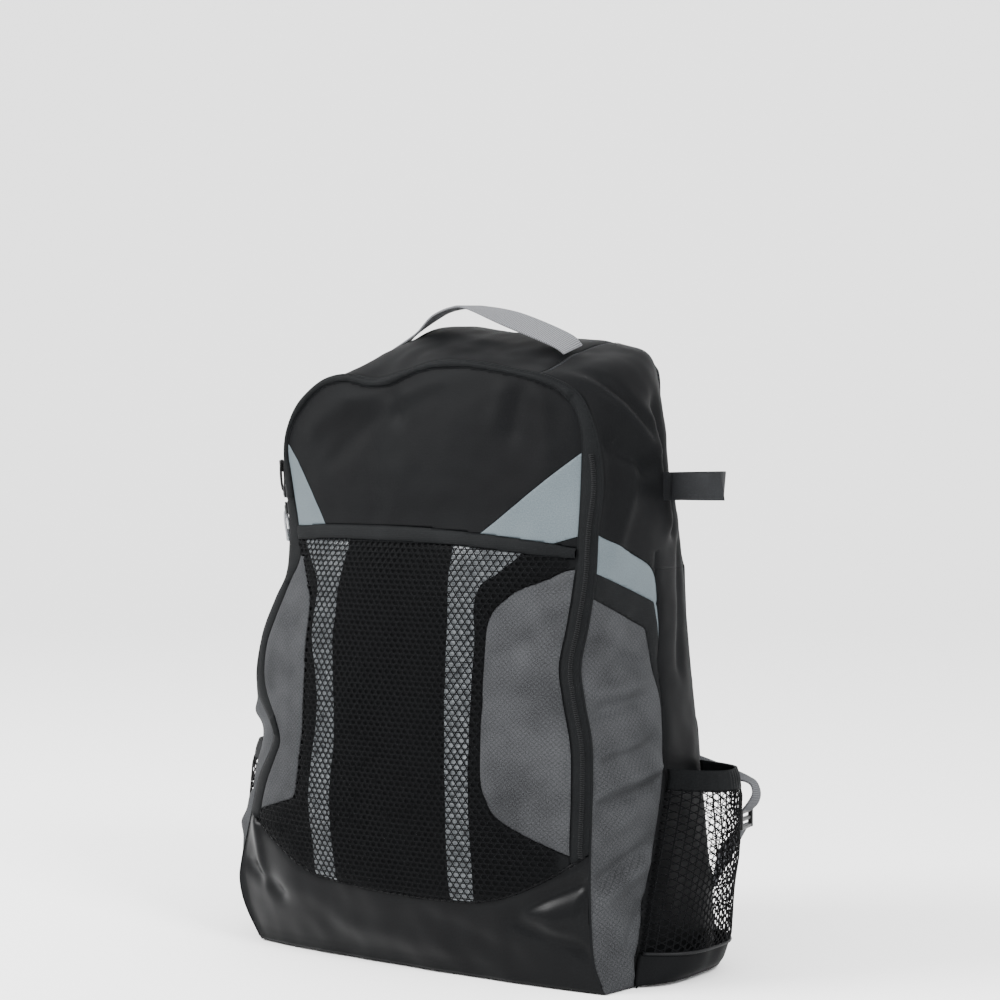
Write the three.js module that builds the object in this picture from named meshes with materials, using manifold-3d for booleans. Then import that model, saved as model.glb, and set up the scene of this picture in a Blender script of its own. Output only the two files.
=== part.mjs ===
// Bat backpack: a soft day pack with an arched zip front, a net pocket on the
// front, a net pocket and a bat loop on each side, and padded shoulder straps.
// Millimetres, +Z up, the front faces -Y, origin on the floor under the base.
import * as THREE from 'three';
import { mergeVertices } from 'three/addons/utils/BufferGeometryUtils.js';
import Module from 'manifold-3d';

const wasm = await Module();
wasm.setup();

// Driving dimensions
const baseWidth = 344;
const baseDepth = 174;
const shellHeight = 512;
const clothWall = 2;
const thinCloth = 1;
const netWall = 1.2;
const seamGap = 0.3;
const rimGap = 0.7;
const pocketSeat = 0.5;
const pocketStart = 0.015;
const pocketEnd = 0.97;
const cupFootShare = 0.4;
const hemLift = 1.2;
const floorLift = 1.5;
const baseWall = 2.4;
const backPad = 12;
const backCrown = 5;
const padPitch = 1.35;
const padFade = 0.4;
const zipBandWidth = 14.5;
const coilWidth = 4;
const coilHeight = 1.6;
const sliderLength = 13;
const sliderWidth = 9;
const sliderHeight = 4;
const pullLength = 24;
const pullWidth = 7;
const pullThickness = 2;
const pocketHemHeight = 15;
const pocketCupHeight = 24;
const pocketTop = 160;
const loopHeight = 22;
const loopWall = 2.6;
const loopLevel = 380;
const handleWidth = 25;
const handleThickness = 2.2;
const handleRise = 18;
const strapPad = 12;
const webbingWidth = 20;
const webbingThickness = 1.6;
const webbingTwist = [0.1, 0.6];
const lockWidth = 30;
const lockLength = 22;
const lockThickness = 5;
const lockSlot = 3.4;
const lockBar = 3.5;
const lockTurn = -0.8;
const tabThickness = 2.4;
const sheetSteps = {
  backColumns: 12, backRows: 8, baseFront: 16, pocket: 10, strap: 14, webbing: 16, handle: 20,
};

const halfWidth = baseWidth / 2;
const halfDepth = baseDepth / 2;

// Stations round the shell from the right foot over the arch to the left foot.
// front is [x, z] of the zip edge, middle is [x, y, z] half way back and back is
// [x, z] at the back panel, as shares of the half width, half depth and height.
const stations = [
  { front: [0.988, 0], middle: [1.023, 0, 0], back: [0.977, 0] },
  { front: [0.930, 0.043], middle: [1.023, 0, 0.047], back: [0.971, 0.047] },
  { front: [0.915, 0.110], middle: [1.006, 0, 0.113], back: [0.959, 0.113] },
  { front: [0.904, 0.203], middle: [0.983, 0, 0.203], back: [0.936, 0.203] },
  { front: [0.904, 0.293], middle: [0.965, 0, 0.293], back: [0.913, 0.293] },
  { front: [0.895, 0.363], middle: [0.953, 0, 0.363], back: [0.895, 0.363] },
  { front: [0.855, 0.430], middle: [0.936, 0, 0.426], back: [0.878, 0.426] },
  { front: [0.834, 0.480], middle: [0.924, 0, 0.480], back: [0.866, 0.480] },
  { front: [0.860, 0.539], middle: [0.930, 0, 0.539], back: [0.855, 0.539] },
  { front: [0.890, 0.609], middle: [0.942, 0, 0.609], back: [0.843, 0.609] },
  { front: [0.895, 0.676], middle: [0.948, 0, 0.676], back: [0.826, 0.676] },
  { front: [0.907, 0.754], middle: [0.936, 0, 0.758], back: [0.780, 0.754] },
  { front: [0.890, 0.828], middle: [0.915, 0, 0.840], back: [0.742, 0.836] },
  { front: [0.849, 0.875], middle: [0.884, -0.06, 0.896], back: [0.744, 0.895] },
  { front: [0.767, 0.914], middle: [0.808, -0.06, 0.934], back: [0.715, 0.938] },
  { front: [0.628, 0.936], middle: [0.657, -0.06, 0.950], back: [0.600, 0.959] },
  { front: [0.488, 0.947], middle: [0.500, -0.06, 0.962], back: [0.465, 0.967] },
  { front: [0.174, 0.957], middle: [0.174, -0.06, 0.977], back: [0.163, 0.973] },
  { front: [-0.012, 0.949], middle: [-0.012, -0.06, 0.986], back: [-0.012, 0.971] },
  { front: [-0.203, 0.941], middle: [-0.209, -0.06, 0.992], back: [-0.192, 0.973] },
  { front: [-0.360, 0.924], middle: [-0.372, -0.06, 0.986], back: [-0.337, 0.973] },
  { front: [-0.535, 0.918], middle: [-0.547, -0.06, 0.955], back: [-0.488, 0.969] },
  { front: [-0.686, 0.906], middle: [-0.686, -0.06, 0.917], back: [-0.605, 0.945] },
  { front: [-0.814, 0.883], middle: [-0.826, -0.06, 0.887], back: [-0.698, 0.912] },
  { front: [-0.890, 0.850], middle: [-0.895, -0.03, 0.854], back: [-0.756, 0.874] },
  { front: [-0.930, 0.816], middle: [-0.930, 0, 0.828], back: [-0.773, 0.832] },
  { front: [-0.919, 0.754], middle: [-0.948, 0, 0.758], back: [-0.797, 0.754] },
  { front: [-0.901, 0.688], middle: [-0.959, -0.06, 0.684], back: [-0.826, 0.676] },
  { front: [-0.907, 0.609], middle: [-1.000, -0.17, 0.609], back: [-0.843, 0.609] },
  { front: [-0.948, 0.559], middle: [-1.035, -0.29, 0.551], back: [-0.855, 0.539] },
  { front: [-0.977, 0.488], middle: [-1.070, -0.37, 0.484], back: [-0.866, 0.480] },
  { front: [-1.003, 0.414], middle: [-1.099, -0.44, 0.418], back: [-0.878, 0.418] },
  { front: [-0.872, 0.346], middle: [-1.093, -0.46, 0.350], back: [-0.895, 0.352] },
  { front: [-0.866, 0.306], middle: [-1.105, -0.48, 0.305], back: [-0.907, 0.305] },
  { front: [-0.994, 0.242], middle: [-1.134, -0.51, 0.240], back: [-0.924, 0.240] },
  { front: [-1.041, 0.180], middle: [-1.151, -0.51, 0.176], back: [-0.936, 0.176] },
  { front: [-1.099, 0.084], middle: [-1.157, -0.48, 0.086], back: [-0.959, 0.086] },
  { front: [-1.000, 0], middle: [-1.047, -0.46, 0], back: [-0.977, 0] },
];
const lastStation = stations.length - 1;
const rightSide = [0, 12];
const leftSide = [25, lastStation];

// The front face by level: x and y of its left and right edges as shares of the
// half width and half depth, and how far its middle bulges, of the half depth.
const frontFace = [
  { z: 0, leftX: -1.000, leftY: -1.000, rightX: 0.988, rightY: -1.000, bulge: 0.09 },
  { z: 0.04, leftX: -1.047, leftY: -1.057, rightX: 0.930, rightY: -1.011, bulge: 0.18 },
  { z: 0.12, leftX: -1.070, leftY: -1.115, rightX: 0.919, rightY: -1.023, bulge: 0.31 },
  { z: 0.23, leftX: -1.006, leftY: -1.115, rightX: 0.901, rightY: -0.989, bulge: 0.38 },
  { z: 0.39, leftX: -0.988, leftY: -1.103, rightX: 0.884, rightY: -0.943, bulge: 0.38 },
  { z: 0.51, leftX: -0.971, leftY: -1.057, rightX: 0.849, rightY: -0.908, bulge: 0.345 },
  { z: 0.625, leftX: -0.907, leftY: -0.920, rightX: 0.890, rightY: -0.874, bulge: 0.31 },
  { z: 0.68, leftX: -0.901, leftY: -0.828, rightX: 0.895, rightY: -0.851, bulge: 0.25 },
  { z: 0.78, leftX: -0.930, leftY: -0.782, rightX: 0.907, rightY: -0.816, bulge: 0.21 },
  { z: 0.86, leftX: -0.907, leftY: -0.736, rightX: 0.872, rightY: -0.805, bulge: 0.15 },
  { z: 0.92, leftX: -0.814, leftY: -0.759, rightX: 0.767, rightY: -0.793, bulge: 0.07 },
  { z: 1, leftX: -0.698, leftY: -0.782, rightX: 0.640, rightY: -0.793, bulge: 0 },
];
const bulgeFullness = 2.6;

// The back plane by level, as a share of the half depth.
const backFace = [
  { z: 0, y: 1 },
  { z: 0.2, y: 0.99 },
  { z: 0.4, y: 0.94 },
  { z: 0.6, y: 0.87 },
  { z: 0.8, y: 0.79 },
  { z: 1, y: 0.68 },
];

// The seam where each side pocket starts, by level, as a share of the half depth.
const pocketSeam = {
  right: [
    { z: 0, y: -0.75 },
    { z: 0.12, y: -0.45 },
    { z: 0.30, y: 0.04 },
    { z: 0.43, y: 0.03 },
    { z: 0.51, y: 0 },
    { z: 0.62, y: -0.10 },
  ],
  left: [
    { z: 0, y: -0.69 },
    { z: 0.12, y: -0.71 },
    { z: 0.30, y: -0.66 },
    { z: 0.43, y: -0.50 },
    { z: 0.51, y: -0.40 },
    { z: 0.62, y: -0.30 },
  ],
};

// Slanted bands over the gusset: upper edge at the zip and at the pocket seam.
const gussetBands = {
  light: { front: 0.682, rear: 0.616 },
  dark: { front: 0.623, rear: 0.563 },
  grey: { front: 0.586, rear: 0.512 },
};

// How far each side pocket stands out, by level, as a share of the half width.
const pocketReach = {
  right: [
    { z: 0, x: 1.145 },
    { z: 0.06, x: 1.205 },
    { z: 0.18, x: 1.235 },
    { z: 0.27, x: 1.240 },
    { z: 0.32, x: 1.200 },
  ],
  left: [
    { z: 0, x: 1.160 },
    { z: 0.06, x: 1.270 },
    { z: 0.18, x: 1.350 },
    { z: 0.27, x: 1.345 },
    { z: 0.32, x: 1.305 },
  ],
};
const pocketFullness = 3.2;

// Seam lines on the front, [x, z] as shares of the half width and the height.
const bootTop = [
  [-1.20, 0.225], [-0.99, 0.209], [-0.814, 0.178], [-0.564, 0.139], [-0.384, 0.129],
  [-0.006, 0.121], [0.221, 0.121], [0.384, 0.123], [0.570, 0.139], [0.750, 0.170],
  [0.895, 0.203], [1.10, 0.24],
];
const hemTop = [
  [-1.00, 0.676], [-0.785, 0.676], [-0.564, 0.680], [-0.087, 0.680], [0.331, 0.672],
  [0.674, 0.660], [0.814, 0.652], [1.00, 0.645],
];
const hemBottom = [
  [-1.00, 0.652], [-0.750, 0.654], [-0.453, 0.658], [0.174, 0.654], [0.587, 0.643],
  [0.808, 0.637], [1.00, 0.632],
];
const greyRight = [
  [1.10, 0.622], [0.814, 0.621], [0.692, 0.605], [0.576, 0.590], [0.523, 0.578],
  [0.465, 0.561], [0.436, 0.543], [0.424, 0.516], [0.424, 0.426], [0.436, 0.309],
  [0.465, 0.277], [0.506, 0.254], [0.616, 0.232], [0.808, 0.203], [1.10, 0.165],
];
const greyLeft = [
  [-1.20, 0.640], [-0.703, 0.621], [-0.657, 0.590], [-0.605, 0.561], [-0.599, 0.533],
  [-0.593, 0.498], [-0.587, 0.371], [-0.622, 0.273], [-0.663, 0.254], [-0.936, 0.223],
  [-1.20, 0.200],
];
const stripeRight = [
  [0.250, 0.648], [0.215, 0.627], [0.215, 0.598], [0.227, 0.541], [0.238, 0.451],
  [0.238, 0.422], [0.262, 0.270], [0.279, 0.129], [0.384, 0.127], [0.372, 0.322],
  [0.366, 0.453], [0.366, 0.516], [0.355, 0.561], [0.366, 0.584], [0.395, 0.600],
  [0.459, 0.613], [0.570, 0.641],
];
const stripeLeft = [
  [-0.727, 0.647], [-0.651, 0.627], [-0.581, 0.600], [-0.558, 0.576], [-0.558, 0.533],
  [-0.552, 0.500], [-0.488, 0.406], [-0.517, 0.311], [-0.535, 0.252], [-0.517, 0.197],
  [-0.488, 0.141], [-0.384, 0.135], [-0.384, 0.186], [-0.395, 0.250], [-0.390, 0.297],
  [-0.372, 0.377], [-0.419, 0.502], [-0.419, 0.537], [-0.424, 0.578], [-0.413, 0.619],
  [-0.430, 0.650],
];
const accentRight = [[0.331, 0.668], [1.00, 0.842], [1.00, 0.690], [0.674, 0.655]];
const accentLeft = [[-1.00, 0.826], [-0.849, 0.781], [-0.587, 0.676], [-0.800, 0.670], [-1.00, 0.672]];

// Shoulder strap by length: centre and width, in shares of the half width, the
// distance behind the base's middle in half depths, the height and the half width.
const strapLine = [
  { x: 0.25, y: 0.70, z: 0.905, width: 0.34 },
  { x: 0.27, y: 0.78, z: 0.860, width: 0.35 },
  { x: 0.30, y: 0.93, z: 0.780, width: 0.36 },
  { x: 0.34, y: 1.04, z: 0.680, width: 0.36 },
  { x: 0.38, y: 1.11, z: 0.570, width: 0.33 },
  { x: 0.42, y: 1.14, z: 0.460, width: 0.29 },
  { x: 0.46, y: 1.14, z: 0.360, width: 0.25 },
];

// Free webbing between the strap's end and the ladder lock, in the same shares.
const webbingLine = [
  [0.600, 1.205, 0.322], [0.740, 1.180, 0.304], [0.890, 1.140, 0.296], [1.010, 1.100, 0.298],
  [1.085, 1.065, 0.288], [1.090, 1.045, 0.262],
];
const lockPlace = [1.075, 1.040, 0.215];
const tabSeam = [0.105, 0.165];

// Handle by length: x and y as shares of the half width and half depth, and how
// far it stands between the crown and its peak.
const handleLine = [
  { x: -0.600, y: -0.06, rise: 0 },
  { x: -0.500, y: -0.08, rise: 0.03 },
  { x: -0.400, y: -0.11, rise: 0.07 },
  { x: -0.326, y: -0.14, rise: 0.26 },
  { x: -0.227, y: -0.17, rise: 0.76 },
  { x: -0.105, y: -0.20, rise: 1 },
  { x: -0.006, y: -0.22, rise: 0.97 },
  { x: 0.227, y: -0.26, rise: 0.55 },
  { x: 0.500, y: -0.29, rise: 0.16 },
  { x: 0.575, y: -0.30, rise: 0 },
];

// Bat loops: where each starts and ends across the gusset, and how far it reaches.
const loopSpan = {
  right: { from: 0.53, to: 0.90, reach: 42 },
  left: { from: 0.36, to: 0.73, reach: 48 },
};

// Mesh helpers
function fromGrid(outer, inner) {
  const rows = outer.length;
  const columns = outer[0].length;
  const positions = [];
  const index = [];
  const place = (grid) => grid.flat().forEach((p) => positions.push(p.x, p.y, p.z));
  place(outer);
  place(inner);
  const at = (layer, i, j) => layer * rows * columns + i * columns + j;
  const quad = (a, b, c, d) => index.push(a, b, c, a, c, d);
  for (let i = 0; i < rows - 1; i += 1) {
    for (let j = 0; j < columns - 1; j += 1) {
      quad(at(0, i, j), at(0, i, j + 1), at(0, i + 1, j + 1), at(0, i + 1, j));
      quad(at(1, i, j), at(1, i + 1, j), at(1, i + 1, j + 1), at(1, i, j + 1));
    }
  }
  for (let j = 0; j < columns - 1; j += 1) {
    quad(at(0, 0, j), at(1, 0, j), at(1, 0, j + 1), at(0, 0, j + 1));
    const top = rows - 1;
    quad(at(0, top, j + 1), at(1, top, j + 1), at(1, top, j), at(0, top, j));
  }
  for (let i = 0; i < rows - 1; i += 1) {
    quad(at(0, i + 1, 0), at(1, i + 1, 0), at(1, i, 0), at(0, i, 0));
    const side = columns - 1;
    quad(at(0, i, side), at(1, i, side), at(1, i + 1, side), at(0, i + 1, side));
  }
  const geometry = new THREE.BufferGeometry();
  geometry.setAttribute('position', new THREE.Float32BufferAttribute(positions, 3));
  geometry.setIndex(index);
  if (volumeOf(geometry) < 0) turnInsideOut(geometry);
  return geometry;
}

function volumeOf(geometry) {
  const position = geometry.getAttribute('position');
  const index = geometry.getIndex().array;
  const corner = (k) => new THREE.Vector3().fromBufferAttribute(position, index[k]);
  let volume = 0;
  for (let k = 0; k < index.length; k += 3) {
    volume += corner(k).dot(corner(k + 1).cross(corner(k + 2))) / 6;
  }
  return volume;
}

function turnInsideOut(geometry) {
  const index = geometry.getIndex();
  for (let k = 0; k < index.count; k += 3) {
    const second = index.getX(k + 1);
    index.setX(k + 1, index.getX(k + 2));
    index.setX(k + 2, second);
  }
}

// A closed sheet of cloth: point(u, v) gives its face, and the wall goes to the
// side that inward(point) names.
function sheet(point, columns, rows, wall, inward, trim = seamGap) {
  const across = point(0, 0.5).distanceTo(point(0.5, 0.5)) + point(0.5, 0.5).distanceTo(point(1, 0.5));
  const along = point(0.5, 0).distanceTo(point(0.5, 0.5)) + point(0.5, 0.5).distanceTo(point(0.5, 1));
  const trimU = trim / across;
  const trimV = trim / along;
  const step = 1e-3;
  const outer = [];
  const inner = [];
  for (let i = 0; i <= rows; i += 1) {
    outer.push([]);
    inner.push([]);
    for (let j = 0; j <= columns; j += 1) {
      const u = trimU + (1 - 2 * trimU) * (j / columns);
      const v = trimV + (1 - 2 * trimV) * (i / rows);
      const here = point(u, v);
      const du = point(Math.min(u + step, 1), v).sub(point(Math.max(u - step, 0), v));
      const dv = point(u, Math.min(v + step, 1)).sub(point(u, Math.max(v - step, 0)));
      const normal = du.cross(dv).normalize();
      if (normal.dot(inward(here)) < 0) normal.negate();
      outer[i].push(here);
      inner[i].push(here.clone().addScaledVector(normal, wall));
    }
  }
  return fromGrid(outer, inner);
}

function toSolid(geometry) {
  const bare = geometry.clone();
  bare.deleteAttribute('normal');
  bare.deleteAttribute('uv');
  const merged = mergeVertices(bare, 1e-4);
  return new wasm.Manifold(new wasm.Mesh({
    numProp: 3,
    vertProperties: new Float32Array(merged.getAttribute('position').array),
    triVerts: new Uint32Array(merged.getIndex().array),
  }));
}

function toGeometry(solid) {
  const mesh = solid.getMesh();
  const geometry = new THREE.BufferGeometry();
  geometry.setAttribute('position', new THREE.Float32BufferAttribute(mesh.vertProperties, 3));
  geometry.setIndex(Array.from(mesh.triVerts));
  return geometry;
}

// Reads one column of a table at a level, straight between its rows.
function column(rows, key, z) {
  const share = z / shellHeight;
  const upper = rows.findIndex((row) => row.z >= share);
  if (upper <= 0) return rows[upper < 0 ? rows.length - 1 : 0][key];
  const low = rows[upper - 1];
  const high = rows[upper];
  return THREE.MathUtils.lerp(low[key], high[key], (share - low.z) / (high.z - low.z));
}

function smoothCurve(points, closed = false) {
  return new THREE.CatmullRomCurve3(points, closed, 'centripetal');
}

// The front face: y at a place [x, z], pushed out by lift.
function frontY(x, z, lift = 0) {
  const leftX = column(frontFace, 'leftX', z) * halfWidth;
  const rightX = column(frontFace, 'rightX', z) * halfWidth;
  const across = THREE.MathUtils.clamp((x - leftX) / (rightX - leftX), 0, 1);
  const edge = THREE.MathUtils.lerp(column(frontFace, 'leftY', z), column(frontFace, 'rightY', z), across);
  const crown = 1 - Math.abs(2 * across - 1) ** bulgeFullness;
  return (edge - column(frontFace, 'bulge', z) * crown) * halfDepth - lift;
}

function backY(z) {
  return column(backFace, 'y', z) * halfDepth;
}

// The gusset: from the zip edge, over the middle line, to the back panel.
const frontCurve = smoothCurve(stations.map(({ front: [x, z] }) => (
  new THREE.Vector3(x * halfWidth, 0, Math.max(z * shellHeight, floorLift)))));
const middleCurve = smoothCurve(stations.map(({ middle: [x, y, z] }) => (
  new THREE.Vector3(x * halfWidth, y * halfDepth, Math.max(z * shellHeight, floorLift)))));
const backCurve = smoothCurve(stations.map(({ back: [x, z] }) => (
  new THREE.Vector3(x * halfWidth, 0, Math.max(z * shellHeight, floorLift)))));

function gusset(station, v) {
  const t = THREE.MathUtils.clamp(station / lastStation, 0, 1);
  const front = frontCurve.getPoint(t);
  front.y = frontY(front.x, front.z) + clothWall + rimGap;
  const middle = middleCurve.getPoint(t);
  const back = backCurve.getPoint(t);
  back.y = backY(back.z) - backPad - seamGap;
  const point = front.multiplyScalar(2 * (v - 0.5) * (v - 1));
  point.addScaledVector(middle, -4 * v * (v - 1));
  return point.addScaledVector(back, 2 * v * (v - 0.5));
}

// The station on one side at a share of the height.
function stationAt([first, last], share) {
  for (let i = first; i < last; i += 1) {
    const a = stations[i].middle[2];
    const b = stations[i + 1].middle[2];
    if ((share - a) * (share - b) <= 0) return i + (share - a) / (b - a);
  }
  return share <= stations[first].middle[2] === first < last / 2 ? first : last;
}

// How far back across the gusset the pocket seam lies at a station.
function seamShare(station, side) {
  let low = 0;
  let high = 1;
  for (let pass = 0; pass < 16; pass += 1) {
    const v = (low + high) / 2;
    const point = gusset(station, v);
    if (point.y < column(pocketSeam[side], 'y', point.z) * halfDepth) low = v;
    else high = v;
  }
  return (low + high) / 2;
}

function towardsCore(point) {
  return new THREE.Vector3(-point.x, 0, shellHeight / 2 - point.z);
}

// A block over an outline on the front or back, [x, z] points, through y.
function block(points, from = -2 * baseDepth, to = 2 * baseDepth) {
  const shape = new THREE.Shape(points.map(([x, z]) => new THREE.Vector2(x, z)));
  const geometry = new THREE.ExtrudeGeometry(shape, { depth: to - from, bevelEnabled: false });
  geometry.rotateX(Math.PI / 2);
  geometry.translate(0, to, 0);
  return toSolid(geometry);
}

function inMillimetres(rows) {
  return rows.map(([x, z]) => [x * halfWidth, z * shellHeight]);
}

function smoothed(points, count, closed = false) {
  const curve = smoothCurve(points.map(([x, z]) => new THREE.Vector3(x, z, 0)), closed);
  return curve.getPoints(count).map((p) => [p.x, p.y]).slice(0, closed ? -1 : undefined);
}

// An outline moved outwards by a distance, or inwards if it is negative. An open
// one runs from foot to foot, and its ends move level.
function grown(points, distance, open = false) {
  const area = points.reduce((sum, [x, z], i) => {
    const [nextX, nextZ] = points[(i + 1) % points.length];
    return sum + x * nextZ - nextX * z;
  }, 0);
  const turn = Math.sign(area);
  return points.map(([x, z], i) => {
    const [beforeX, beforeZ] = points[(i + points.length - 1) % points.length];
    const [afterX, afterZ] = points[(i + 1) % points.length];
    const normal = new THREE.Vector2(afterZ - beforeZ, beforeX - afterX).normalize();
    if (open && i === 0) normal.set(turn, 0);
    if (open && i === points.length - 1) normal.set(-turn, 0);
    return [x + normal.x * distance * turn, z + normal.y * distance * turn];
  });
}

// An open outline closed far under the floor.
function footed(line) {
  const [firstX] = line[0];
  const [lastX] = line[line.length - 1];
  return [[firstX, -shellHeight], ...line, [lastX, -shellHeight]];
}

function below(line) {
  return [...line, [2 * halfWidth, -shellHeight], [-2 * halfWidth, -shellHeight]];
}

function above(line) {
  return [...line, [2 * halfWidth, 2 * shellHeight], [-2 * halfWidth, 2 * shellHeight]];
}

function moved(line, rise) {
  return line.map(([x, z]) => [x, z + rise]);
}

// Outlines of the front
const outerOutline = frontCurve.getPoints(48).map((p) => [p.x, p.z]);
const besideZip = (distance) => footed(grown(outerOutline, -distance, true));
const bootLine = smoothed(inMillimetres(bootTop), 14);
const hemTopLine = inMillimetres(hemTop);
const hemBottomLine = inMillimetres(hemBottom);

// The front wall, or a layer that lies on it, before it is cut to its panels.
function frontLayer(lift, wall) {
  const columns = 14;
  const rows = 17;
  const left = -1.12 * halfWidth;
  const right = 1.02 * halfWidth;
  const top = 0.975 * shellHeight;
  const face = (u, v) => {
    const x = THREE.MathUtils.lerp(left, right, u);
    const z = THREE.MathUtils.lerp(floorLift, top, v);
    return new THREE.Vector3(x, frontY(x, z, lift), z);
  };
  const layer = (depth) => {
    const grid = [];
    for (let i = 0; i <= rows; i += 1) {
      grid.push([]);
      for (let j = 0; j <= columns; j += 1) {
        const point = face(j / columns, i / rows);
        point.y += depth;
        grid[i].push(point);
      }
    }
    return grid;
  };
  return toSolid(fromGrid(layer(0), layer(wall)));
}

const halfGap = seamGap / 2;
const frontWall = frontLayer(0, clothWall);
const insideZip = block(besideZip(zipBandWidth + halfGap));
const aboveBoot = block(above(moved(bootLine, halfGap)));
const belowHem = block(below(moved(hemBottomLine, -halfGap)));
const greyOutlines = {
  right: smoothed(inMillimetres(greyRight), 20),
  left: smoothed(inMillimetres(greyLeft), 16),
};

function upperPanel() {
  return toGeometry(frontWall.intersect(insideZip).intersect(block(above(moved(hemTopLine, halfGap)))));
}

function hemBand() {
  const layer = frontLayer(hemLift, clothWall + hemLift);
  const outline = [...moved(hemTopLine, -halfGap), ...moved(hemBottomLine, halfGap).reverse()];
  return toGeometry(layer.intersect(insideZip).intersect(block(outline)));
}

function greyFront(side) {
  const cut = block(grown(greyOutlines[side], -halfGap));
  return toGeometry(frontWall.intersect(insideZip).intersect(belowHem).intersect(aboveBoot).intersect(cut));
}

function pocketBacking() {
  const pocket = frontWall.intersect(insideZip).intersect(belowHem).intersect(aboveBoot);
  const right = block(grown(greyOutlines.right, halfGap));
  const left = block(grown(greyOutlines.left, halfGap));
  return toGeometry(pocket.subtract(right).subtract(left));
}

function bootPanel() {
  const cut = block(below(moved(bootLine, -halfGap)));
  return toGeometry(frontWall.intersect(block(outerOutline)).intersect(cut));
}

function zipBand() {
  const whole = frontWall.intersect(block(outerOutline)).intersect(aboveBoot);
  return toGeometry(whole.subtract(block(besideZip(zipBandWidth - halfGap))));
}

function zipCoil() {
  const layer = frontLayer(seamGap + coilHeight, coilHeight);
  const strip = layer.intersect(block(besideZip((zipBandWidth - coilWidth) / 2)));
  const open = strip.subtract(block(besideZip((zipBandWidth + coilWidth) / 2)));
  return toGeometry(open.intersect(block(above(moved(bootLine, 2 * clothWall)))));
}

function stripe(points) {
  const layer = frontLayer(seamGap + thinCloth, thinCloth);
  const cut = block(smoothed(inMillimetres(points), 24, true));
  const room = block(below(moved(hemBottomLine, -clothWall)));
  const clear = block(above(moved(bootLine, clothWall)));
  return toGeometry(layer.intersect(cut).intersect(room).intersect(clear));
}

function frontNet() {
  const lift = 2 * seamGap + thinCloth + netWall;
  const layer = frontLayer(lift, netWall).intersect(insideZip);
  const room = layer.intersect(belowHem).intersect(aboveBoot);
  const right = block(grown(greyOutlines.right, clothWall));
  const left = block(grown(greyOutlines.left, clothWall));
  return toGeometry(room.subtract(right).subtract(left));
}

function accent(points) {
  const layer = frontLayer(seamGap + thinCloth, thinCloth).intersect(insideZip);
  const room = block(above(moved(hemTopLine, hemLift + seamGap)));
  return toGeometry(layer.intersect(room).intersect(block(inMillimetres(points))));
}

// Where the handle's ends are sewn into the crown, and the station over a place.
const handleEnds = [handleLine[handleLine.length - 1].x * halfWidth, handleLine[0].x * halfWidth];

function stationOver(x) {
  for (let i = rightSide[1]; i < leftSide[0]; i += 1) {
    const a = stations[i].middle[0] * halfWidth;
    const b = stations[i + 1].middle[0] * halfWidth;
    if ((x - a) * (x - b) <= 0) return i + (x - a) / (b - a);
  }
  return (rightSide[1] + leftSide[0]) / 2;
}

function topPanel() {
  return toGeometry(gussetWall.intersect(slab(handleEnds[1] + halfGap, handleEnds[0] - halfGap)));
}

// The gusset as one wall, cut into its panels afterwards.
const gussetWall = toSolid(sheet(
  (u, v) => gusset(u * lastStation, v), 50, 5, clothWall, towardsCore));

// A block over an outline on one side, [y, z] points, from the core outwards.
function sideBlock(side, points) {
  const shape = new THREE.Shape(points.map(([y, z]) => new THREE.Vector2(y, z)));
  const geometry = new THREE.ExtrudeGeometry(shape, { depth: baseWidth, bevelEnabled: false });
  if (side === 'left') geometry.translate(0, 0, -baseWidth);
  geometry.applyMatrix4(new THREE.Matrix4().set(0, 0, 1, 0, 1, 0, 0, 0, 0, 1, 0, 0, 0, 0, 0, 1));
  return toSolid(geometry);
}

// The part of a side in front of the pocket seam and under a slanted band edge.
function underEdge(side, name, distance) {
  const { front, rear } = gussetBands[name];
  const rearY = column(pocketSeam[side], 'y', rear * shellHeight) * halfDepth;
  const fall = ((rear - front) * shellHeight) / (rearY + halfDepth);
  const farY = -baseDepth;
  const seam = pocketSeam[side].filter(({ z }) => z < rear);
  const line = seam.map(({ y, z }) => [y * halfDepth, z > 0 ? z * shellHeight : -halfDepth]);
  const edge = [[rearY, rear * shellHeight], [farY, rear * shellHeight + fall * (farY - rearY)]];
  return sideBlock(side, grown([...line, ...edge, [farY, -halfDepth]], distance));
}

function behindSeam(side, distance) {
  const top = gussetBands.light.rear;
  const seam = pocketSeam[side].filter(({ z }) => z < top);
  const line = seam.map(({ y, z }) => [y * halfDepth, z > 0 ? z * shellHeight : -halfDepth]);
  const topY = column(pocketSeam[side], 'y', top * shellHeight) * halfDepth;
  const rear = [[topY, top * shellHeight], [baseDepth, top * shellHeight], [baseDepth, -halfDepth]];
  return sideBlock(side, grown([...line, ...rear], distance));
}

function slab(from, to) {
  return block([[from, -shellHeight], [to, -shellHeight], [to, 2 * shellHeight], [from, 2 * shellHeight]]);
}

function gussetPieces(side) {
  const grey = underEdge(side, 'grey', -halfGap);
  const dark = underEdge(side, 'dark', -halfGap).subtract(underEdge(side, 'grey', halfGap));
  const light = underEdge(side, 'light', -halfGap).subtract(underEdge(side, 'dark', halfGap));
  const lower = underEdge(side, 'light', halfGap).add(behindSeam(side, halfGap));
  const outside = side === 'right'
    ? slab(handleEnds[0] + halfGap, baseWidth)
    : slab(-baseWidth, handleEnds[1] - halfGap);
  return {
    grey: toGeometry(gussetWall.intersect(grey)),
    dark: toGeometry(gussetWall.intersect(dark)),
    light: toGeometry(gussetWall.intersect(light)),
    wall: toGeometry(gussetWall.intersect(behindSeam(side, -halfGap))),
    shoulder: toGeometry(gussetWall.intersect(outside).subtract(lower)),
  };
}

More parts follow.
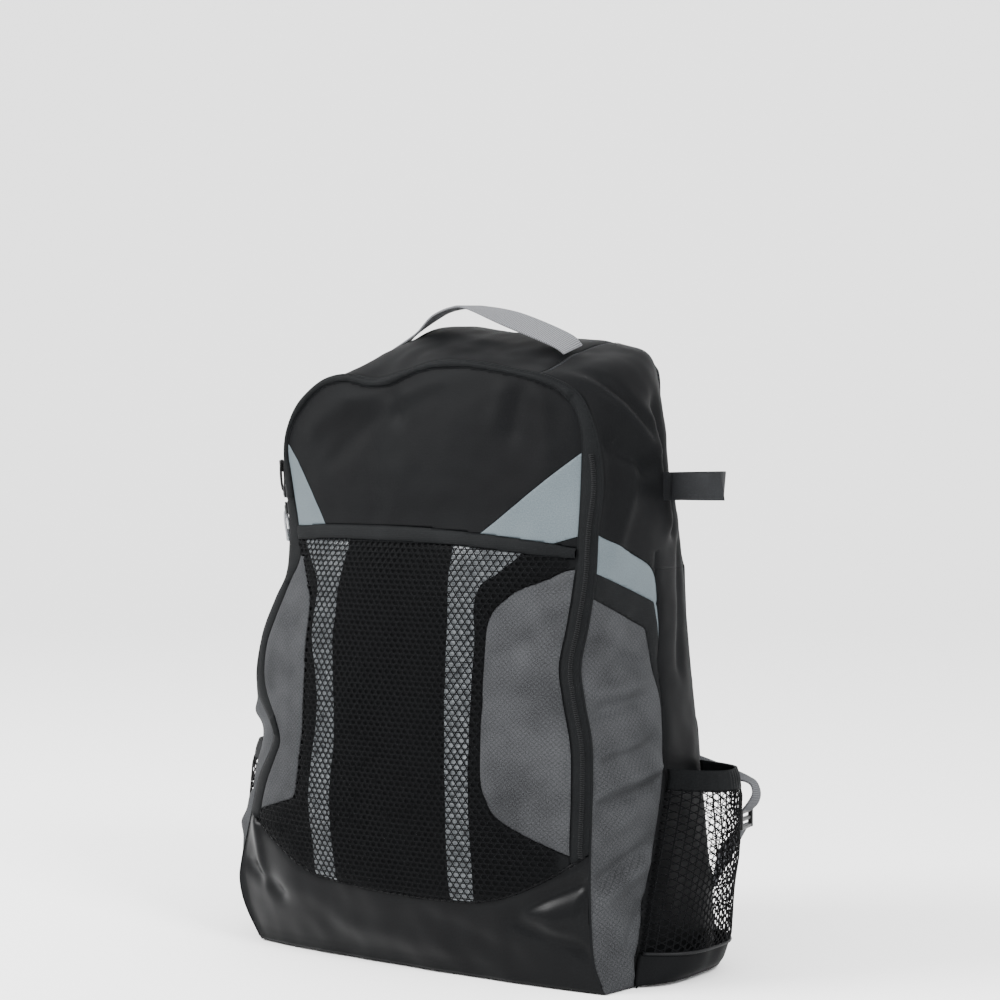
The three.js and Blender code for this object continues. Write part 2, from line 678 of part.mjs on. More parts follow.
// Back and base
function backPanel() {
  const outline = backCurve.getPoints(44).map((p) => [p.x, p.z]);
  const columns = sheetSteps.backColumns;
  const rows = sheetSteps.backRows;
  const layer = (depth, crown) => {
    const grid = [];
    for (let i = 0; i <= rows; i += 1) {
      grid.push([]);
      for (let j = 0; j <= columns; j += 1) {
        const x = THREE.MathUtils.lerp(-halfWidth, halfWidth, j / columns);
        const z = THREE.MathUtils.lerp(floorLift, shellHeight, i / rows);
        const pads = Math.abs(Math.sin((2 * Math.PI * x) / (padPitch * halfWidth)));
        const fade = Math.sin(Math.PI * (i / rows)) ** padFade * Math.max(1 - (x / halfWidth) ** 4, 0);
        grid[i].push(new THREE.Vector3(x, backY(z) - depth + crown * pads * fade, z));
      }
    }
    return grid;
  };
  const pad = toSolid(fromGrid(layer(0, backCrown), layer(backPad, 0)));
  return toGeometry(pad.intersect(block(outline)));
}

function basePanel() {
  const clear = clothWall + 3 * seamGap;
  const front = [];
  for (let i = 0; i <= sheetSteps.baseFront; i += 1) {
    const share = i / sheetSteps.baseFront;
    const x = THREE.MathUtils.lerp(gusset(lastStation, 0).x + clear, gusset(0, 0).x - clear, share);
    front.push(new THREE.Vector2(x, frontY(x, floorLift) + clear));
  }
  const sideOf = (station, inset) => [0.25, 0.5, 0.75, 1].map((v) => {
    const point = gusset(station, v);
    return new THREE.Vector2(point.x + inset, point.y - (v === 1 ? seamGap : 0));
  });
  const outline = [...front, ...sideOf(0, -clear), ...sideOf(lastStation, clear).reverse()];
  return new THREE.ExtrudeGeometry(new THREE.Shape(outline), { depth: baseWall, bevelEnabled: false });
}

// Side pockets. a runs from the front seam round to the back corner.
function pocketFace(side, a, z) {
  const range = side === 'right' ? rightSide : leftSide;
  const sign = side === 'right' ? 1 : -1;
  const station = stationAt(range, z / shellHeight);
  const start = gusset(station, seamShare(station, side) + pocketStart);
  const end = gusset(station, pocketEnd);
  const stand = clothWall + pocketSeat;
  const x = THREE.MathUtils.lerp(start.x, end.x, a) + sign * stand;
  const y = THREE.MathUtils.lerp(start.y, end.y, a);
  const crown = 1 - Math.abs(2 * a - 1) ** pocketFullness;
  const widest = sign * column(pocketReach[side], 'x', z) * halfWidth;
  const middle = (start.x + end.x) / 2 + sign * stand;
  return new THREE.Vector3(x + (widest - middle) * crown, y, z);
}

function pocketInward(side) {
  const sign = side === 'right' ? -1 : 1;
  return () => new THREE.Vector3(sign, 0, 0);
}

function pocketBand(side, low, high, wall, rows) {
  const point = (a, w) => pocketFace(side, a, THREE.MathUtils.lerp(low, high, w));
  return sheet(point, sheetSteps.pocket, rows, wall, pocketInward(side));
}

function pocketCup(side) {
  const floor = floorLift;
  const level = pocketCupHeight;
  const sign = side === 'right' ? 1 : -1;
  const clear = sign * (clothWall + pocketSeat);
  const station = stationAt(side === 'right' ? rightSide : leftSide, floor / shellHeight);
  const point = (a, w) => {
    if (w >= cupFootShare) {
      const climb = (w - cupFootShare) / (1 - cupFootShare);
      return pocketFace(side, a, THREE.MathUtils.lerp(floor, level, climb));
    }
    const rim = pocketFace(side, a, floor);
    const seam = seamShare(station, side) + pocketStart;
    const foot = gusset(station, THREE.MathUtils.lerp(seam, pocketEnd, a));
    return new THREE.Vector3(THREE.MathUtils.lerp(foot.x + clear, rim.x, w / cupFootShare), rim.y, rim.z);
  };
  // The wall goes mostly up at the foot and mostly sideways above it.
  const inward = (here) => new THREE.Vector3(-sign, 0, here.z < floor + seamGap ? 2 : 0.75);
  return sheet(point, sheetSteps.pocket, 5, clothWall, inward);
}

// Bat loops, one each side, closed rings of webbing sewn to the shell.
function batLoop(side) {
  const range = side === 'right' ? rightSide : leftSide;
  const sign = side === 'right' ? 1 : -1;
  const span = loopSpan[side];
  const station = stationAt(range, loopLevel / shellHeight);
  const from = gusset(station, span.from);
  const to = gusset(station, span.to);
  let proud = 0;
  for (let i = 0; i <= 8; i += 1) {
    const share = THREE.MathUtils.lerp(span.from, span.to, i / 8);
    for (const rise of [-0.5, 0, 0.5]) {
      const at = stationAt(range, (loopLevel + rise * loopHeight) / shellHeight);
      const point = gusset(at, share);
      const chord = THREE.MathUtils.lerp(from.x, to.x, (point.y - from.y) / (to.y - from.y));
      proud = Math.max(proud, sign * (point.x - chord));
    }
  }
  const inset = sign * (proud + seamGap + loopWall);
  const radius = (to.y - from.y) / 2;
  const middleY = (from.y + to.y) / 2;
  const farX = (from.x + to.x) / 2 + inset + sign * (span.reach - radius);
  const innerLine = [new THREE.Vector2(from.x + inset, from.y)];
  for (let i = 0; i <= 10; i += 1) {
    const angle = -Math.PI / 2 + (Math.PI * i) / 10;
    innerLine.push(new THREE.Vector2(
      farX + sign * radius * Math.cos(angle), middleY + radius * Math.sin(angle)));
  }
  innerLine.push(new THREE.Vector2(to.x + inset, to.y));
  if (sign < 0) innerLine.reverse();
  const outerLine = grown(innerLine.map((p) => [p.x, p.y]), loopWall)
    .map(([x, y]) => new THREE.Vector2(x, y));
  const shape = new THREE.Shape(outerLine);
  shape.holes.push(new THREE.Path(innerLine));
  const geometry = new THREE.ExtrudeGeometry(shape, { depth: loopHeight, bevelEnabled: false });
  geometry.translate(0, 0, loopLevel - loopHeight / 2);
  return geometry;
}

// A flat strap along a curve: width(t) across and a wall along its normal.
function strap(curve, widthAt, across, wall, columns, rows, inward) {
  const point = (u, v) => {
    const centre = curve.getPointAt(v);
    return centre.addScaledVector(across(v), (u - 0.5) * widthAt(v));
  };
  return sheet(point, columns, rows, wall, inward, 0);
}

function crownHeight(x, y) {
  const station = stationOver(x);
  const low = gusset(station, 0).y;
  const high = gusset(station, 1).y;
  let v = (y - low) / (high - low);
  for (let pass = 0; pass < 6; pass += 1) v += (y - gusset(station, v).y) / (high - low);
  return gusset(station, v).z;
}

function grabHandle() {
  const peak = Math.max(...handleLine.map(({ x, y }) => crownHeight(x * halfWidth, y * halfDepth)));
  const points = handleLine.map(({ x, y, rise }) => {
    const seat = Math.max(...[-0.5, 0, 0.5].map((share) => (
      crownHeight(x * halfWidth, y * halfDepth + share * handleWidth)))) + 2 * seamGap;
    const z = THREE.MathUtils.lerp(seat, peak + handleRise, rise);
    return new THREE.Vector3(x * halfWidth, y * halfDepth, z + handleThickness);
  });
  const curve = smoothCurve(points);
  const down = () => new THREE.Vector3(0, 0, -1);
  const across = () => new THREE.Vector3(0, 1, 0);
  return strap(curve, () => handleWidth, across, handleThickness, 1, sheetSteps.handle, down);
}

function strapCurve(sign) {
  return smoothCurve(strapLine.map(({ x, y, z }) => {
    const level = z * shellHeight;
    const seat = backY(level) + backCrown + seamGap;
    return new THREE.Vector3(sign * x * halfWidth, Math.max(y * halfDepth, seat), level);
  }));
}

function shoulderStrap(sign) {
  const curve = strapCurve(sign);
  const last = strapLine.length - 1;
  const widthAt = (v) => {
    const row = Math.min(Math.floor(v * last), last - 1);
    return THREE.MathUtils.lerp(strapLine[row].width, strapLine[row + 1].width, v * last - row) * halfWidth;
  };
  const across = (v) => {
    const tangent = curve.getTangentAt(v);
    return new THREE.Vector3(1, 0, 0).addScaledVector(tangent, -tangent.x).normalize();
  };
  const outwards = () => new THREE.Vector3(0, 1, 0.2);
  return strap(curve, widthAt, across, strapPad, 3, sheetSteps.strap, outwards);
}

function lockCentre(sign) {
  const [x, y, z] = lockPlace;
  return new THREE.Vector3(sign * x * halfWidth, y * halfDepth, z * shellHeight);
}

function lockAcross(sign) {
  return new THREE.Vector3(sign * Math.cos(lockTurn), Math.sin(lockTurn), 0);
}

function strapWebbing(sign) {
  const end = strapCurve(sign).getPointAt(1);
  end.y += strapPad / 2;
  const leave = strapCurve(sign).getTangentAt(1);
  const start = end.clone().addScaledVector(leave, 2 * seamGap);
  const second = end.clone().addScaledVector(leave, webbingWidth / 2);
  const middle = webbingLine.map(([x, y, z]) => (
    new THREE.Vector3(sign * x * halfWidth, y * halfDepth, z * shellHeight)));
  const arrive = lockCentre(sign);
  arrive.z += lockLength / 2 + seamGap;
  const curve = smoothCurve([start, second, ...middle, arrive]);
  const across = (v) => {
    const tangent = curve.getTangentAt(v);
    const turned = THREE.MathUtils.smoothstep(v, webbingTwist[0], webbingTwist[1]);
    const level = new THREE.Vector3(sign, 0, 0).lerp(lockAcross(sign), turned);
    return level.addScaledVector(tangent, -level.dot(tangent)).normalize();
  };
  const point = (u, v) => curve.getPointAt(v).addScaledVector(across(v), (u - 0.5) * webbingWidth);
  const inward = (here) => new THREE.Vector3(0, halfDepth - here.y, arrive.z - here.z - webbingWidth / 2);
  return sheet(point, 1, sheetSteps.webbing, webbingThickness, inward, 0);
}

// Ladder lock: a moulded frame with two slots, turned to face its webbing.
function ladderLock(sign) {
  const frame = new THREE.BoxGeometry(lockWidth, lockThickness, lockLength);
  const slotWidth = webbingWidth + 2;
  let solid = toSolid(frame);
  for (const step of [-1, 1]) {
    const slot = new THREE.BoxGeometry(slotWidth, 2 * lockThickness, lockSlot);
    slot.translate(0, 0, (step * (lockSlot + lockBar)) / 2);
    solid = solid.subtract(toSolid(slot));
  }
  const geometry = toGeometry(solid);
  geometry.rotateZ(sign * lockTurn);
  const centre = lockCentre(sign);
  geometry.translate(centre.x, centre.y, centre.z);
  return geometry;
}

// Corner tab: cloth from the back panel's side seam out to the ladder lock.
function anchorTab(sign) {
  const reach = 3 * seamGap + tabThickness / 2;
  const [low, high] = tabSeam.map((share) => {
    const level = share * shellHeight;
    const range = sign > 0 ? rightSide : leftSide;
    const edge = backCurve.getPoint(stationAt(range, share) / lastStation);
    return new THREE.Vector3(edge.x + sign * reach, backY(level) - backPad / 2, level);
  });
  const top = lockCentre(sign);
  top.z -= lockLength / 2 + seamGap;
  const across = lockAcross(sign).multiplyScalar(webbingWidth / 2);
  const point = (u, v) => {
    const foot = low.clone().lerp(high, u);
    const tip = top.clone().addScaledVector(across, 1 - 2 * u);
    return foot.lerp(tip, v);
  };
  return sheet(point, 3, 4, tabThickness, () => new THREE.Vector3(0, 1, 0), 0);
}

// Zip slider on the left side, with a pull that hangs down the zip.
function zipSlider(level, stand) {
  const line = grown(outerOutline, -zipBandWidth / 2, true);
  const lift = coilHeight + stand;
  const placeAt = (z) => line.filter((p) => p[0] < 0).reduce((best, p) => (
    Math.abs(p[1] - z) < Math.abs(best[1] - z) ? p : best))[0];
  const faceAt = (x, z, reach) => Math.min(...[-reach, 0, reach].flatMap((rise) => (
    [-1, 0, 1].map((step) => frontY(x + (step * sliderWidth) / 2, z + rise, lift)))));
  const z = level * shellHeight;
  const x = placeAt(z);
  const face = faceAt(x, z, sliderLength / 2);
  const body = new THREE.BoxGeometry(sliderWidth, sliderHeight, sliderLength);
  body.translate(x, face - sliderHeight / 2, z);
  const hangZ = z - sliderLength / 2 + 2;
  const tip = faceAt(x, hangZ - pullLength / 2, pullLength / 2) - pullThickness - coilHeight;
  const root = face - sliderHeight + pullThickness / 2;
  const pull = new THREE.BoxGeometry(pullWidth, pullThickness, pullLength);
  pull.translate(0, 0, -pullLength / 2);
  pull.rotateX(Math.atan2(tip - root, pullLength));
  pull.translate(x, root, hangZ);
  return toGeometry(toSolid(body).add(toSolid(pull)));
}

const group = new THREE.Group();

function addPiece(name, geometry, color, roughness, metalness = 0) {
  const material = new THREE.MeshStandardMaterial({ color, roughness, metalness });
  const mesh = new THREE.Mesh(geometry, material);
  mesh.name = name;
  group.add(mesh);
  return mesh;
}

const black = 0x1d1d1e;
const grey = 0x55565a;
const light = 0x949a9f;

addPiece('upper_front_panel', upperPanel(), black, 0.75);
addPiece('light_accent_right', accent(accentRight), light, 0.7);
addPiece('light_accent_left', accent(accentLeft), light, 0.7);
addPiece('hem_band', hemBand(), black, 0.8);
addPiece('pocket_backing', pocketBacking(), black, 0.85);
addPiece('shiny_stripe_right', stripe(stripeRight), 0x8b8e92, 0.4);
addPiece('shiny_stripe_left', stripe(stripeLeft), 0x8b8e92, 0.4);
addPiece('front_net', frontNet(), 0x121212, 0.9);
addPiece('grey_front_panel_right', greyFront('right'), grey, 0.85);
addPiece('grey_front_panel_left', greyFront('left'), grey, 0.85);
addPiece('boot_panel', bootPanel(), 0x242426, 0.3);
addPiece('zip_band', zipBand(), black, 0.8);
addPiece('zip_coil', zipCoil(), 0x161616, 0.6);
addPiece('zip_slider_upper', zipSlider(0.783, 0), 0x2a2a2c, 0.4, 0.8);
addPiece('zip_slider_lower', zipSlider(0.705, 3 * seamGap), 0x2a2a2c, 0.4, 0.8);
addPiece('top_panel', topPanel(), black, 0.75);
for (const side of ['right', 'left']) {
  const pieces = gussetPieces(side);
  addPiece(`grey_gusset_${side}`, pieces.grey, grey, 0.85);
  addPiece(`dark_band_${side}`, pieces.dark, black, 0.8);
  addPiece(`light_band_${side}`, pieces.light, light, 0.7);
  addPiece(`side_wall_${side}`, pieces.wall, black, 0.8);
  addPiece(`shoulder_gusset_${side}`, pieces.shoulder, black, 0.75);
  const netLow = pocketCupHeight;
  const netHigh = pocketTop - pocketHemHeight;
  addPiece(`pocket_cup_${side}`, pocketCup(side), black, 0.8);
  addPiece(`pocket_net_${side}`, pocketBand(side, netLow, netHigh, netWall, 5), 0x121212, 0.9);
  addPiece(`pocket_hem_${side}`, pocketBand(side, netHigh, pocketTop, clothWall, 1), black, 0.8);
  addPiece(`bat_loop_${side}`, batLoop(side), 0x1a1a1a, 0.8);
  const sign = side === 'right' ? 1 : -1;
  addPiece(`shoulder_strap_${side}`, shoulderStrap(sign), black, 0.85);
  addPiece(`strap_webbing_${side}`, strapWebbing(sign), 0x3c3d40, 0.8);
  addPiece(`ladder_lock_${side}`, ladderLock(sign), 0x232324, 0.5);
  addPiece(`anchor_tab_${side}`, anchorTab(sign), 0x2a2a2b, 0.8);
}
addPiece('back_panel', backPanel(), 0x1b1b1c, 0.9);
addPiece('base_panel', basePanel(), 0x1b1b1c, 0.7);
addPiece('grab_handle', grabHandle(), 0x7d7e82, 0.8);

// The origin goes on the floor, under the middle of the whole pack.
const extent = new THREE.Box3().setFromObject(group);
const middle = extent.getCenter(new THREE.Vector3());
group.position.set(-middle.x, -middle.y, -extent.min.z);

export default group;
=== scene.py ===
import math
import bmesh
import bpy
import numpy as np
from mathutils import Matrix, Vector, noise


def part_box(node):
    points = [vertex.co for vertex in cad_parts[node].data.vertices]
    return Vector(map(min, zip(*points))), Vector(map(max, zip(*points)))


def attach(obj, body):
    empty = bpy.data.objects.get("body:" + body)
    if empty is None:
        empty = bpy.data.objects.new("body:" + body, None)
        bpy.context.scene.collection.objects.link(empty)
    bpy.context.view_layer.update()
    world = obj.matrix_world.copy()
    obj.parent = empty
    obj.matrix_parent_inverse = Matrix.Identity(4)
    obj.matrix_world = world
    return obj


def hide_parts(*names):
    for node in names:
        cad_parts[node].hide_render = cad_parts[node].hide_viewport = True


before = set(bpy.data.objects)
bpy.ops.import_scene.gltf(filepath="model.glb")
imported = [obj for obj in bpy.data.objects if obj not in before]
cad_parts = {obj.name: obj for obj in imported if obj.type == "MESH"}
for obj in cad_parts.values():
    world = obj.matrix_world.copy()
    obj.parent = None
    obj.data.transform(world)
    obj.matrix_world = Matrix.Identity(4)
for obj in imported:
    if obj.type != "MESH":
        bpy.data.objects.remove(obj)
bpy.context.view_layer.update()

print("frame loaded")

mm = 0.001
pack = {"halfWidth": 172.0, "halfDepth": 87.0, "height": 512.0, "floorLift": 1.5,
        "seamGap": 0.3, "backPad": 12.0, "zipBand": 14.5, "handleEnd": 0.575}
halfWidth, halfDepth, height = pack["halfWidth"], pack["halfDepth"], pack["height"]

# Rows round the bag, right foot, over the arch, left foot: front x and z, middle
# x, y and z, back x and z, as shares of the half width, half depth and height.
hoopRows = np.array([
    (0.988, 0, 1.023, 0, 0, 0.977, 0),
    (0.93, 0.043, 1.023, 0, 0.047, 0.971, 0.047),
    (0.915, 0.11, 1.006, 0, 0.113, 0.959, 0.113),
    (0.904, 0.203, 0.983, 0, 0.203, 0.936, 0.203),
    (0.904, 0.293, 0.965, 0, 0.293, 0.913, 0.293),
    (0.895, 0.363, 0.953, 0, 0.363, 0.895, 0.363),
    (0.855, 0.43, 0.936, 0, 0.426, 0.878, 0.426),
    (0.834, 0.48, 0.924, 0, 0.48, 0.866, 0.48),
    (0.86, 0.539, 0.93, 0, 0.539, 0.855, 0.539),
    (0.89, 0.609, 0.942, 0, 0.609, 0.843, 0.609),
    (0.895, 0.676, 0.948, 0, 0.676, 0.826, 0.676),
    (0.912, 0.748, 0.936, 0, 0.758, 0.78, 0.754),
    (0.88, 0.812, 0.915, 0, 0.84, 0.742, 0.836),
    (0.833, 0.855, 0.884, -0.06, 0.896, 0.744, 0.895),
    (0.767, 0.884, 0.808, -0.06, 0.934, 0.715, 0.938),
    (0.628, 0.906, 0.657, -0.06, 0.95, 0.6, 0.959),
    (0.488, 0.916, 0.5, -0.06, 0.962, 0.465, 0.967),
    (0.174, 0.934, 0.174, -0.06, 0.977, 0.163, 0.973),
    (-0.012, 0.934, -0.012, -0.06, 0.986, -0.012, 0.971),
    (-0.203, 0.918, -0.209, -0.06, 0.992, -0.192, 0.973),
    (-0.36, 0.908, -0.372, -0.06, 0.986, -0.337, 0.973),
    (-0.535, 0.917, -0.547, -0.06, 0.955, -0.488, 0.969),
    (-0.686, 0.911, -0.686, -0.06, 0.917, -0.605, 0.945),
    (-0.814, 0.889, -0.826, -0.06, 0.887, -0.698, 0.912),
    (-0.905, 0.862, -0.895, -0.03, 0.854, -0.756, 0.874),
    (-0.955, 0.818, -0.93, 0, 0.828, -0.773, 0.832),
    (-0.945, 0.764, -0.948, 0, 0.758, -0.797, 0.754),
    (-0.893, 0.688, -0.959, -0.06, 0.684, -0.826, 0.676),
    (-0.826, 0.606, -1, -0.17, 0.609, -0.843, 0.609),
    (-0.89, 0.557, -1.035, -0.29, 0.551, -0.855, 0.539),
    (-0.975, 0.488, -1.07, -0.37, 0.484, -0.866, 0.48),
    (-0.985, 0.414, -1.099, -0.44, 0.418, -0.878, 0.418),
    (-0.85, 0.366, -1.093, -0.46, 0.35, -0.895, 0.352),
    (-0.815, 0.332, -1.105, -0.48, 0.305, -0.907, 0.305),
    (-0.95, 0.266, -1.134, -0.51, 0.24, -0.924, 0.24),
    (-1.041, 0.18, -1.151, -0.51, 0.176, -0.936, 0.176),
    (-1.099, 0.084, -1.157, -0.48, 0.086, -0.959, 0.086),
    (-1, 0, -1.047, -0.46, 0, -0.977, 0),
])
sideRange = {"right": (0, 12), "left": (25, 37)}
# The zip's inner edge on the front, right foot to left foot, [x, z] shares.
archRows = [
    (0.823, -0.02), (0.823, 0.203), (0.822, 0.293), (0.812, 0.363), (0.772, 0.430), (0.750, 0.480),
    (0.776, 0.539), (0.804, 0.609), (0.810, 0.676), (0.813, 0.740), (0.811, 0.792), (0.804, 0.820),
    (0.786, 0.842), (0.760, 0.860), (0.721, 0.874), (0.669, 0.886), (0.606, 0.894), (0.543, 0.901),
    (0.412, 0.911), (0.278, 0.918), (0.161, 0.923), (0.002, 0.923), (-0.097, 0.918), (-0.178, 0.909),
    (-0.251, 0.900), (-0.313, 0.896), (-0.393, 0.896), (-0.475, 0.901), (-0.546, 0.905),
    (-0.672, 0.901), (-0.776, 0.884), (-0.868, 0.858), (-0.915, 0.836), (-0.936, 0.813),
    (-0.930, 0.786), (-0.905, 0.762), (-0.852, 0.710), (-0.808, 0.675), (-0.770, 0.650),
    (-0.735, 0.630), (-0.745, 0.609), (-0.769, 0.596), (-0.820, 0.557), (-0.862, 0.524),
    (-0.906, 0.490), (-0.924, 0.459), (-0.915, 0.430), (-0.876, 0.405), (-0.799, 0.372),
    (-0.752, 0.337), (-0.793, 0.308), (-0.866, 0.267), (-0.919, 0.222), (-0.97, 0.17), (-1.0, -0.02)]
# Front face by level: level, left x and y, right x and y, bulge.
faceRows = np.array([
    (0, -1.000, -1.000, 0.988, -1.000, 0.09), (0.04, -1.047, -1.057, 0.930, -1.011, 0.18),
    (0.12, -1.070, -1.115, 0.919, -1.023, 0.31), (0.23, -1.006, -1.115, 0.901, -0.989, 0.38),
    (0.39, -0.988, -1.103, 0.884, -0.943, 0.38), (0.51, -0.971, -1.057, 0.849, -0.908, 0.345),
    (0.625, -0.907, -0.920, 0.890, -0.874, 0.31), (0.68, -0.901, -0.828, 0.895, -0.851, 0.25),
    (0.78, -0.930, -0.782, 0.907, -0.816, 0.21), (0.86, -0.907, -0.736, 0.872, -0.805, 0.15),
    (0.92, -0.814, -0.759, 0.767, -0.793, 0.07), (1, -0.698, -0.782, 0.640, -0.793, 0),
])
bulgeFullness = 2.6
backRows = np.array([(0, 1), (0.2, 0.99), (0.4, 0.94), (0.6, 0.87), (0.8, 0.79), (1, 0.68)])
# Seam where each side pocket starts, by level, share of the half depth.
pocketSeam = {
    "right": np.array([(0, -0.62), (0.06, -0.47), (0.12, -0.36), (0.20, -0.18), (0.30, 0.05),
                       (0.43, 0.08), (0.51, 0.06), (0.62, -0.04)]),
    "left": np.array([(0, -0.69), (0.12, -0.71), (0.30, -0.66), (0.43, -0.50), (0.51, -0.40), (0.62, -0.30)]),
}
bands = {"light": (0.682, 0.616), "dark": (0.623, 0.563), "grey": (0.586, 0.512)}
pocketReach = {
    "right": np.array([(0, 1.145), (0.06, 1.205), (0.18, 1.235), (0.27, 1.240), (0.32, 1.200)]),
    "left": np.array([(0, 1.160), (0.06, 1.270), (0.18, 1.350), (0.27, 1.345), (0.32, 1.305)]),
}
pocket = {"end": 0.97, "fullness": 3.2, "stand": 2.5, "cup": 24.0, "top": 160.0, "hem": 15.0}
# Seam lines on the front, [x, z] shares.
bootTop = [(-1.20, 0.225), (-0.99, 0.209), (-0.814, 0.178), (-0.564, 0.139), (-0.384, 0.129),
           (-0.006, 0.121), (0.221, 0.121), (0.384, 0.123), (0.570, 0.139), (0.750, 0.170),
           (0.895, 0.203), (1.10, 0.24)]
hemTop = [(-1.20, 0.676), (-0.785, 0.676), (-0.564, 0.680), (-0.087, 0.680), (0.331, 0.672),
          (0.674, 0.660), (0.814, 0.652), (1.10, 0.643)]
hemBottom = [(-1.20, 0.652), (-0.750, 0.654), (-0.453, 0.658), (0.174, 0.654), (0.587, 0.643),
             (0.808, 0.637), (1.10, 0.630)]
greyRight = [(1.10, 0.622), (0.814, 0.621), (0.692, 0.605), (0.576, 0.590), (0.523, 0.578),
             (0.465, 0.561), (0.436, 0.543), (0.424, 0.516), (0.424, 0.426), (0.436, 0.309),
             (0.465, 0.277), (0.506, 0.254), (0.616, 0.232), (0.808, 0.203), (1.10, 0.165)]
greyLeft = [(-1.20, 0.640), (-0.742, 0.629), (-0.702, 0.621), (-0.656, 0.599), (-0.612, 0.573),
            (-0.596, 0.555), (-0.588, 0.530), (-0.590, 0.498), (-0.582, 0.436), (-0.581, 0.363),
            (-0.605, 0.304), (-0.624, 0.266), (-0.650, 0.250), (-0.735, 0.240), (-0.936, 0.220),
            (-1.20, 0.195)]
stripeRight = [(0.250, 0.668), (0.215, 0.627), (0.215, 0.598), (0.227, 0.541), (0.238, 0.451),
               (0.238, 0.422), (0.262, 0.270), (0.279, 0.100), (0.384, 0.100), (0.372, 0.322),
               (0.366, 0.453), (0.366, 0.516), (0.355, 0.561), (0.366, 0.584), (0.395, 0.600),
               (0.459, 0.613), (0.570, 0.655)]
stripeLeft = [(-0.727, 0.667), (-0.651, 0.627), (-0.581, 0.600), (-0.558, 0.576), (-0.558, 0.533),
              (-0.552, 0.500), (-0.488, 0.406), (-0.517, 0.311), (-0.535, 0.252), (-0.517, 0.197),
              (-0.488, 0.110), (-0.384, 0.110), (-0.384, 0.186), (-0.395, 0.250), (-0.390, 0.297),
              (-0.372, 0.377), (-0.419, 0.502), (-0.419, 0.537), (-0.424, 0.578), (-0.413, 0.619),
              (-0.430, 0.670)]
accentRight = [(0.331, 0.668), (1.00, 0.842), (1.00, 0.690), (0.674, 0.655)]
accentLeft = [(-1.00, 0.826), (-0.849, 0.781), (-0.587, 0.676), (-0.800, 0.660), (-1.00, 0.660)]


# reading the tables
def curveThrough(rows, at):
    # smooth run through evenly numbered rows
    rows = np.asarray(rows, float)
    at = np.clip(np.asarray(at, float), 0, len(rows) - 1)
    i = np.minimum(at.astype(int), len(rows) - 2)
    t = (at - i)[..., None]
    p0, p1, p2 = rows[np.maximum(i - 1, 0)], rows[i], rows[i + 1]
    p3 = rows[np.minimum(i + 2, len(rows) - 1)]
    return 0.5 * (2 * p1 + (p2 - p0) * t + (2 * p0 - 5 * p1 + 4 * p2 - p3) * t * t
                  + (3 * p1 - p0 - 3 * p2 + p3) * t ** 3)


def column(rows, k, z):
    share = np.asarray(z, float) / height
    near = [np.interp(share + o, rows[:, 0], rows[:, k]) for o in (-0.024, -0.012, 0, 0.012, 0.024)]
    return np.mean(near, axis=0)


def frontY(x, z):
    x, z = np.asarray(x, float), np.asarray(z, float)
    left, right = column(faceRows, 1, z) * halfWidth, column(faceRows, 3, z) * halfWidth
    across = np.clip((x - left) / (right - left), 0, 1)
    edge = column(faceRows, 2, z) * (1 - across) + column(faceRows, 4, z) * across
    crown = 1 - np.abs(2 * across - 1) ** bulgeFullness
    return (edge - column(faceRows, 5, z) * crown) * halfDepth


def backY(z):
    return column(backRows, 1, z) * halfDepth


def gusset(station, v, tuck=0.6):
    row = curveThrough(hoopRows, station)
    v = np.asarray(v, float)
    fx, fz = row[..., 0] * halfWidth, np.maximum(row[..., 1] * height, pack["floorLift"])
    mz = np.maximum(row[..., 4] * height, pack["floorLift"])
    bz = np.maximum(row[..., 6] * height, pack["floorLift"])
    fy = frontY(fx, fz) + tuck
    by = backY(bz) - pack["backPad"] - pack["seamGap"]
    a, b, c = 2 * (v - 0.5) * (v - 1), -4 * v * (v - 1), 2 * v * (v - 0.5)
    x = a * fx + b * row[..., 2] * halfWidth + c * row[..., 5] * halfWidth
    y = a * fy + b * row[..., 3] * halfDepth + c * by
    return np.stack([x, y, a * fz + b * mz + c * bz], axis=-1)


def stationAt(side, z):
    first, last = sideRange[side]
    levels, stations = hoopRows[first:last + 1, 4], np.arange(first, last + 1)
    if levels[0] > levels[-1]:
        levels, stations = levels[::-1], stations[::-1]
    return np.interp(np.asarray(z, float) / height, levels, stations)


def seamY(side, z):
    return np.interp(np.asarray(z, float) / height, *pocketSeam[side].T) * halfDepth


def seamShare(side, station):
    low, high = np.zeros_like(station), np.ones_like(station)
    for _ in range(16):
        v = (low + high) / 2
        point = gusset(station, v)
        inFront = point[..., 1] < seamY(side, point[..., 2])
        low, high = np.where(inFront, v, low), np.where(inFront, high, v)
    return (low + high) / 2


def smoothLine(points, closed=False, step=8):
    rows = [(x * halfWidth, z * height) for x, z in points]
    if closed:
        rows = [rows[-1]] + rows + rows[:2]
        at = np.linspace(1, len(rows) - 2, (len(rows) - 3) * step, endpoint=False)
    else:
        at = np.linspace(0, len(rows) - 1, (len(rows) - 1) * step + 1)
    return curveThrough(rows, at)


def insideOf(outline, points):
    # distance from an outline in mm, positive inside it
    a, b = outline, np.roll(outline, -1, axis=0)
    best = np.full(len(points), 1e9)
    odd = np.zeros(len(points), bool)
    for p, q in zip(a, b):
        d = q - p
        t = np.clip(((points - p) @ d) / max(d @ d, 1e-9), 0, 1)
        best = np.minimum(best, np.hypot(*(points - p - t[:, None] * d).T))
        if p[1] != q[1]:
            cross = (p[1] > points[:, 1]) != (q[1] > points[:, 1])
            odd ^= cross & (points[:, 0] < (q[0] - p[0]) * (points[:, 1] - p[1]) / (q[1] - p[1]) + p[0])
    return np.where(odd, best, -best)


def under(line):
    # the field below a seam line
    return np.vstack([line, [(600, -900), (-600, -900)]])


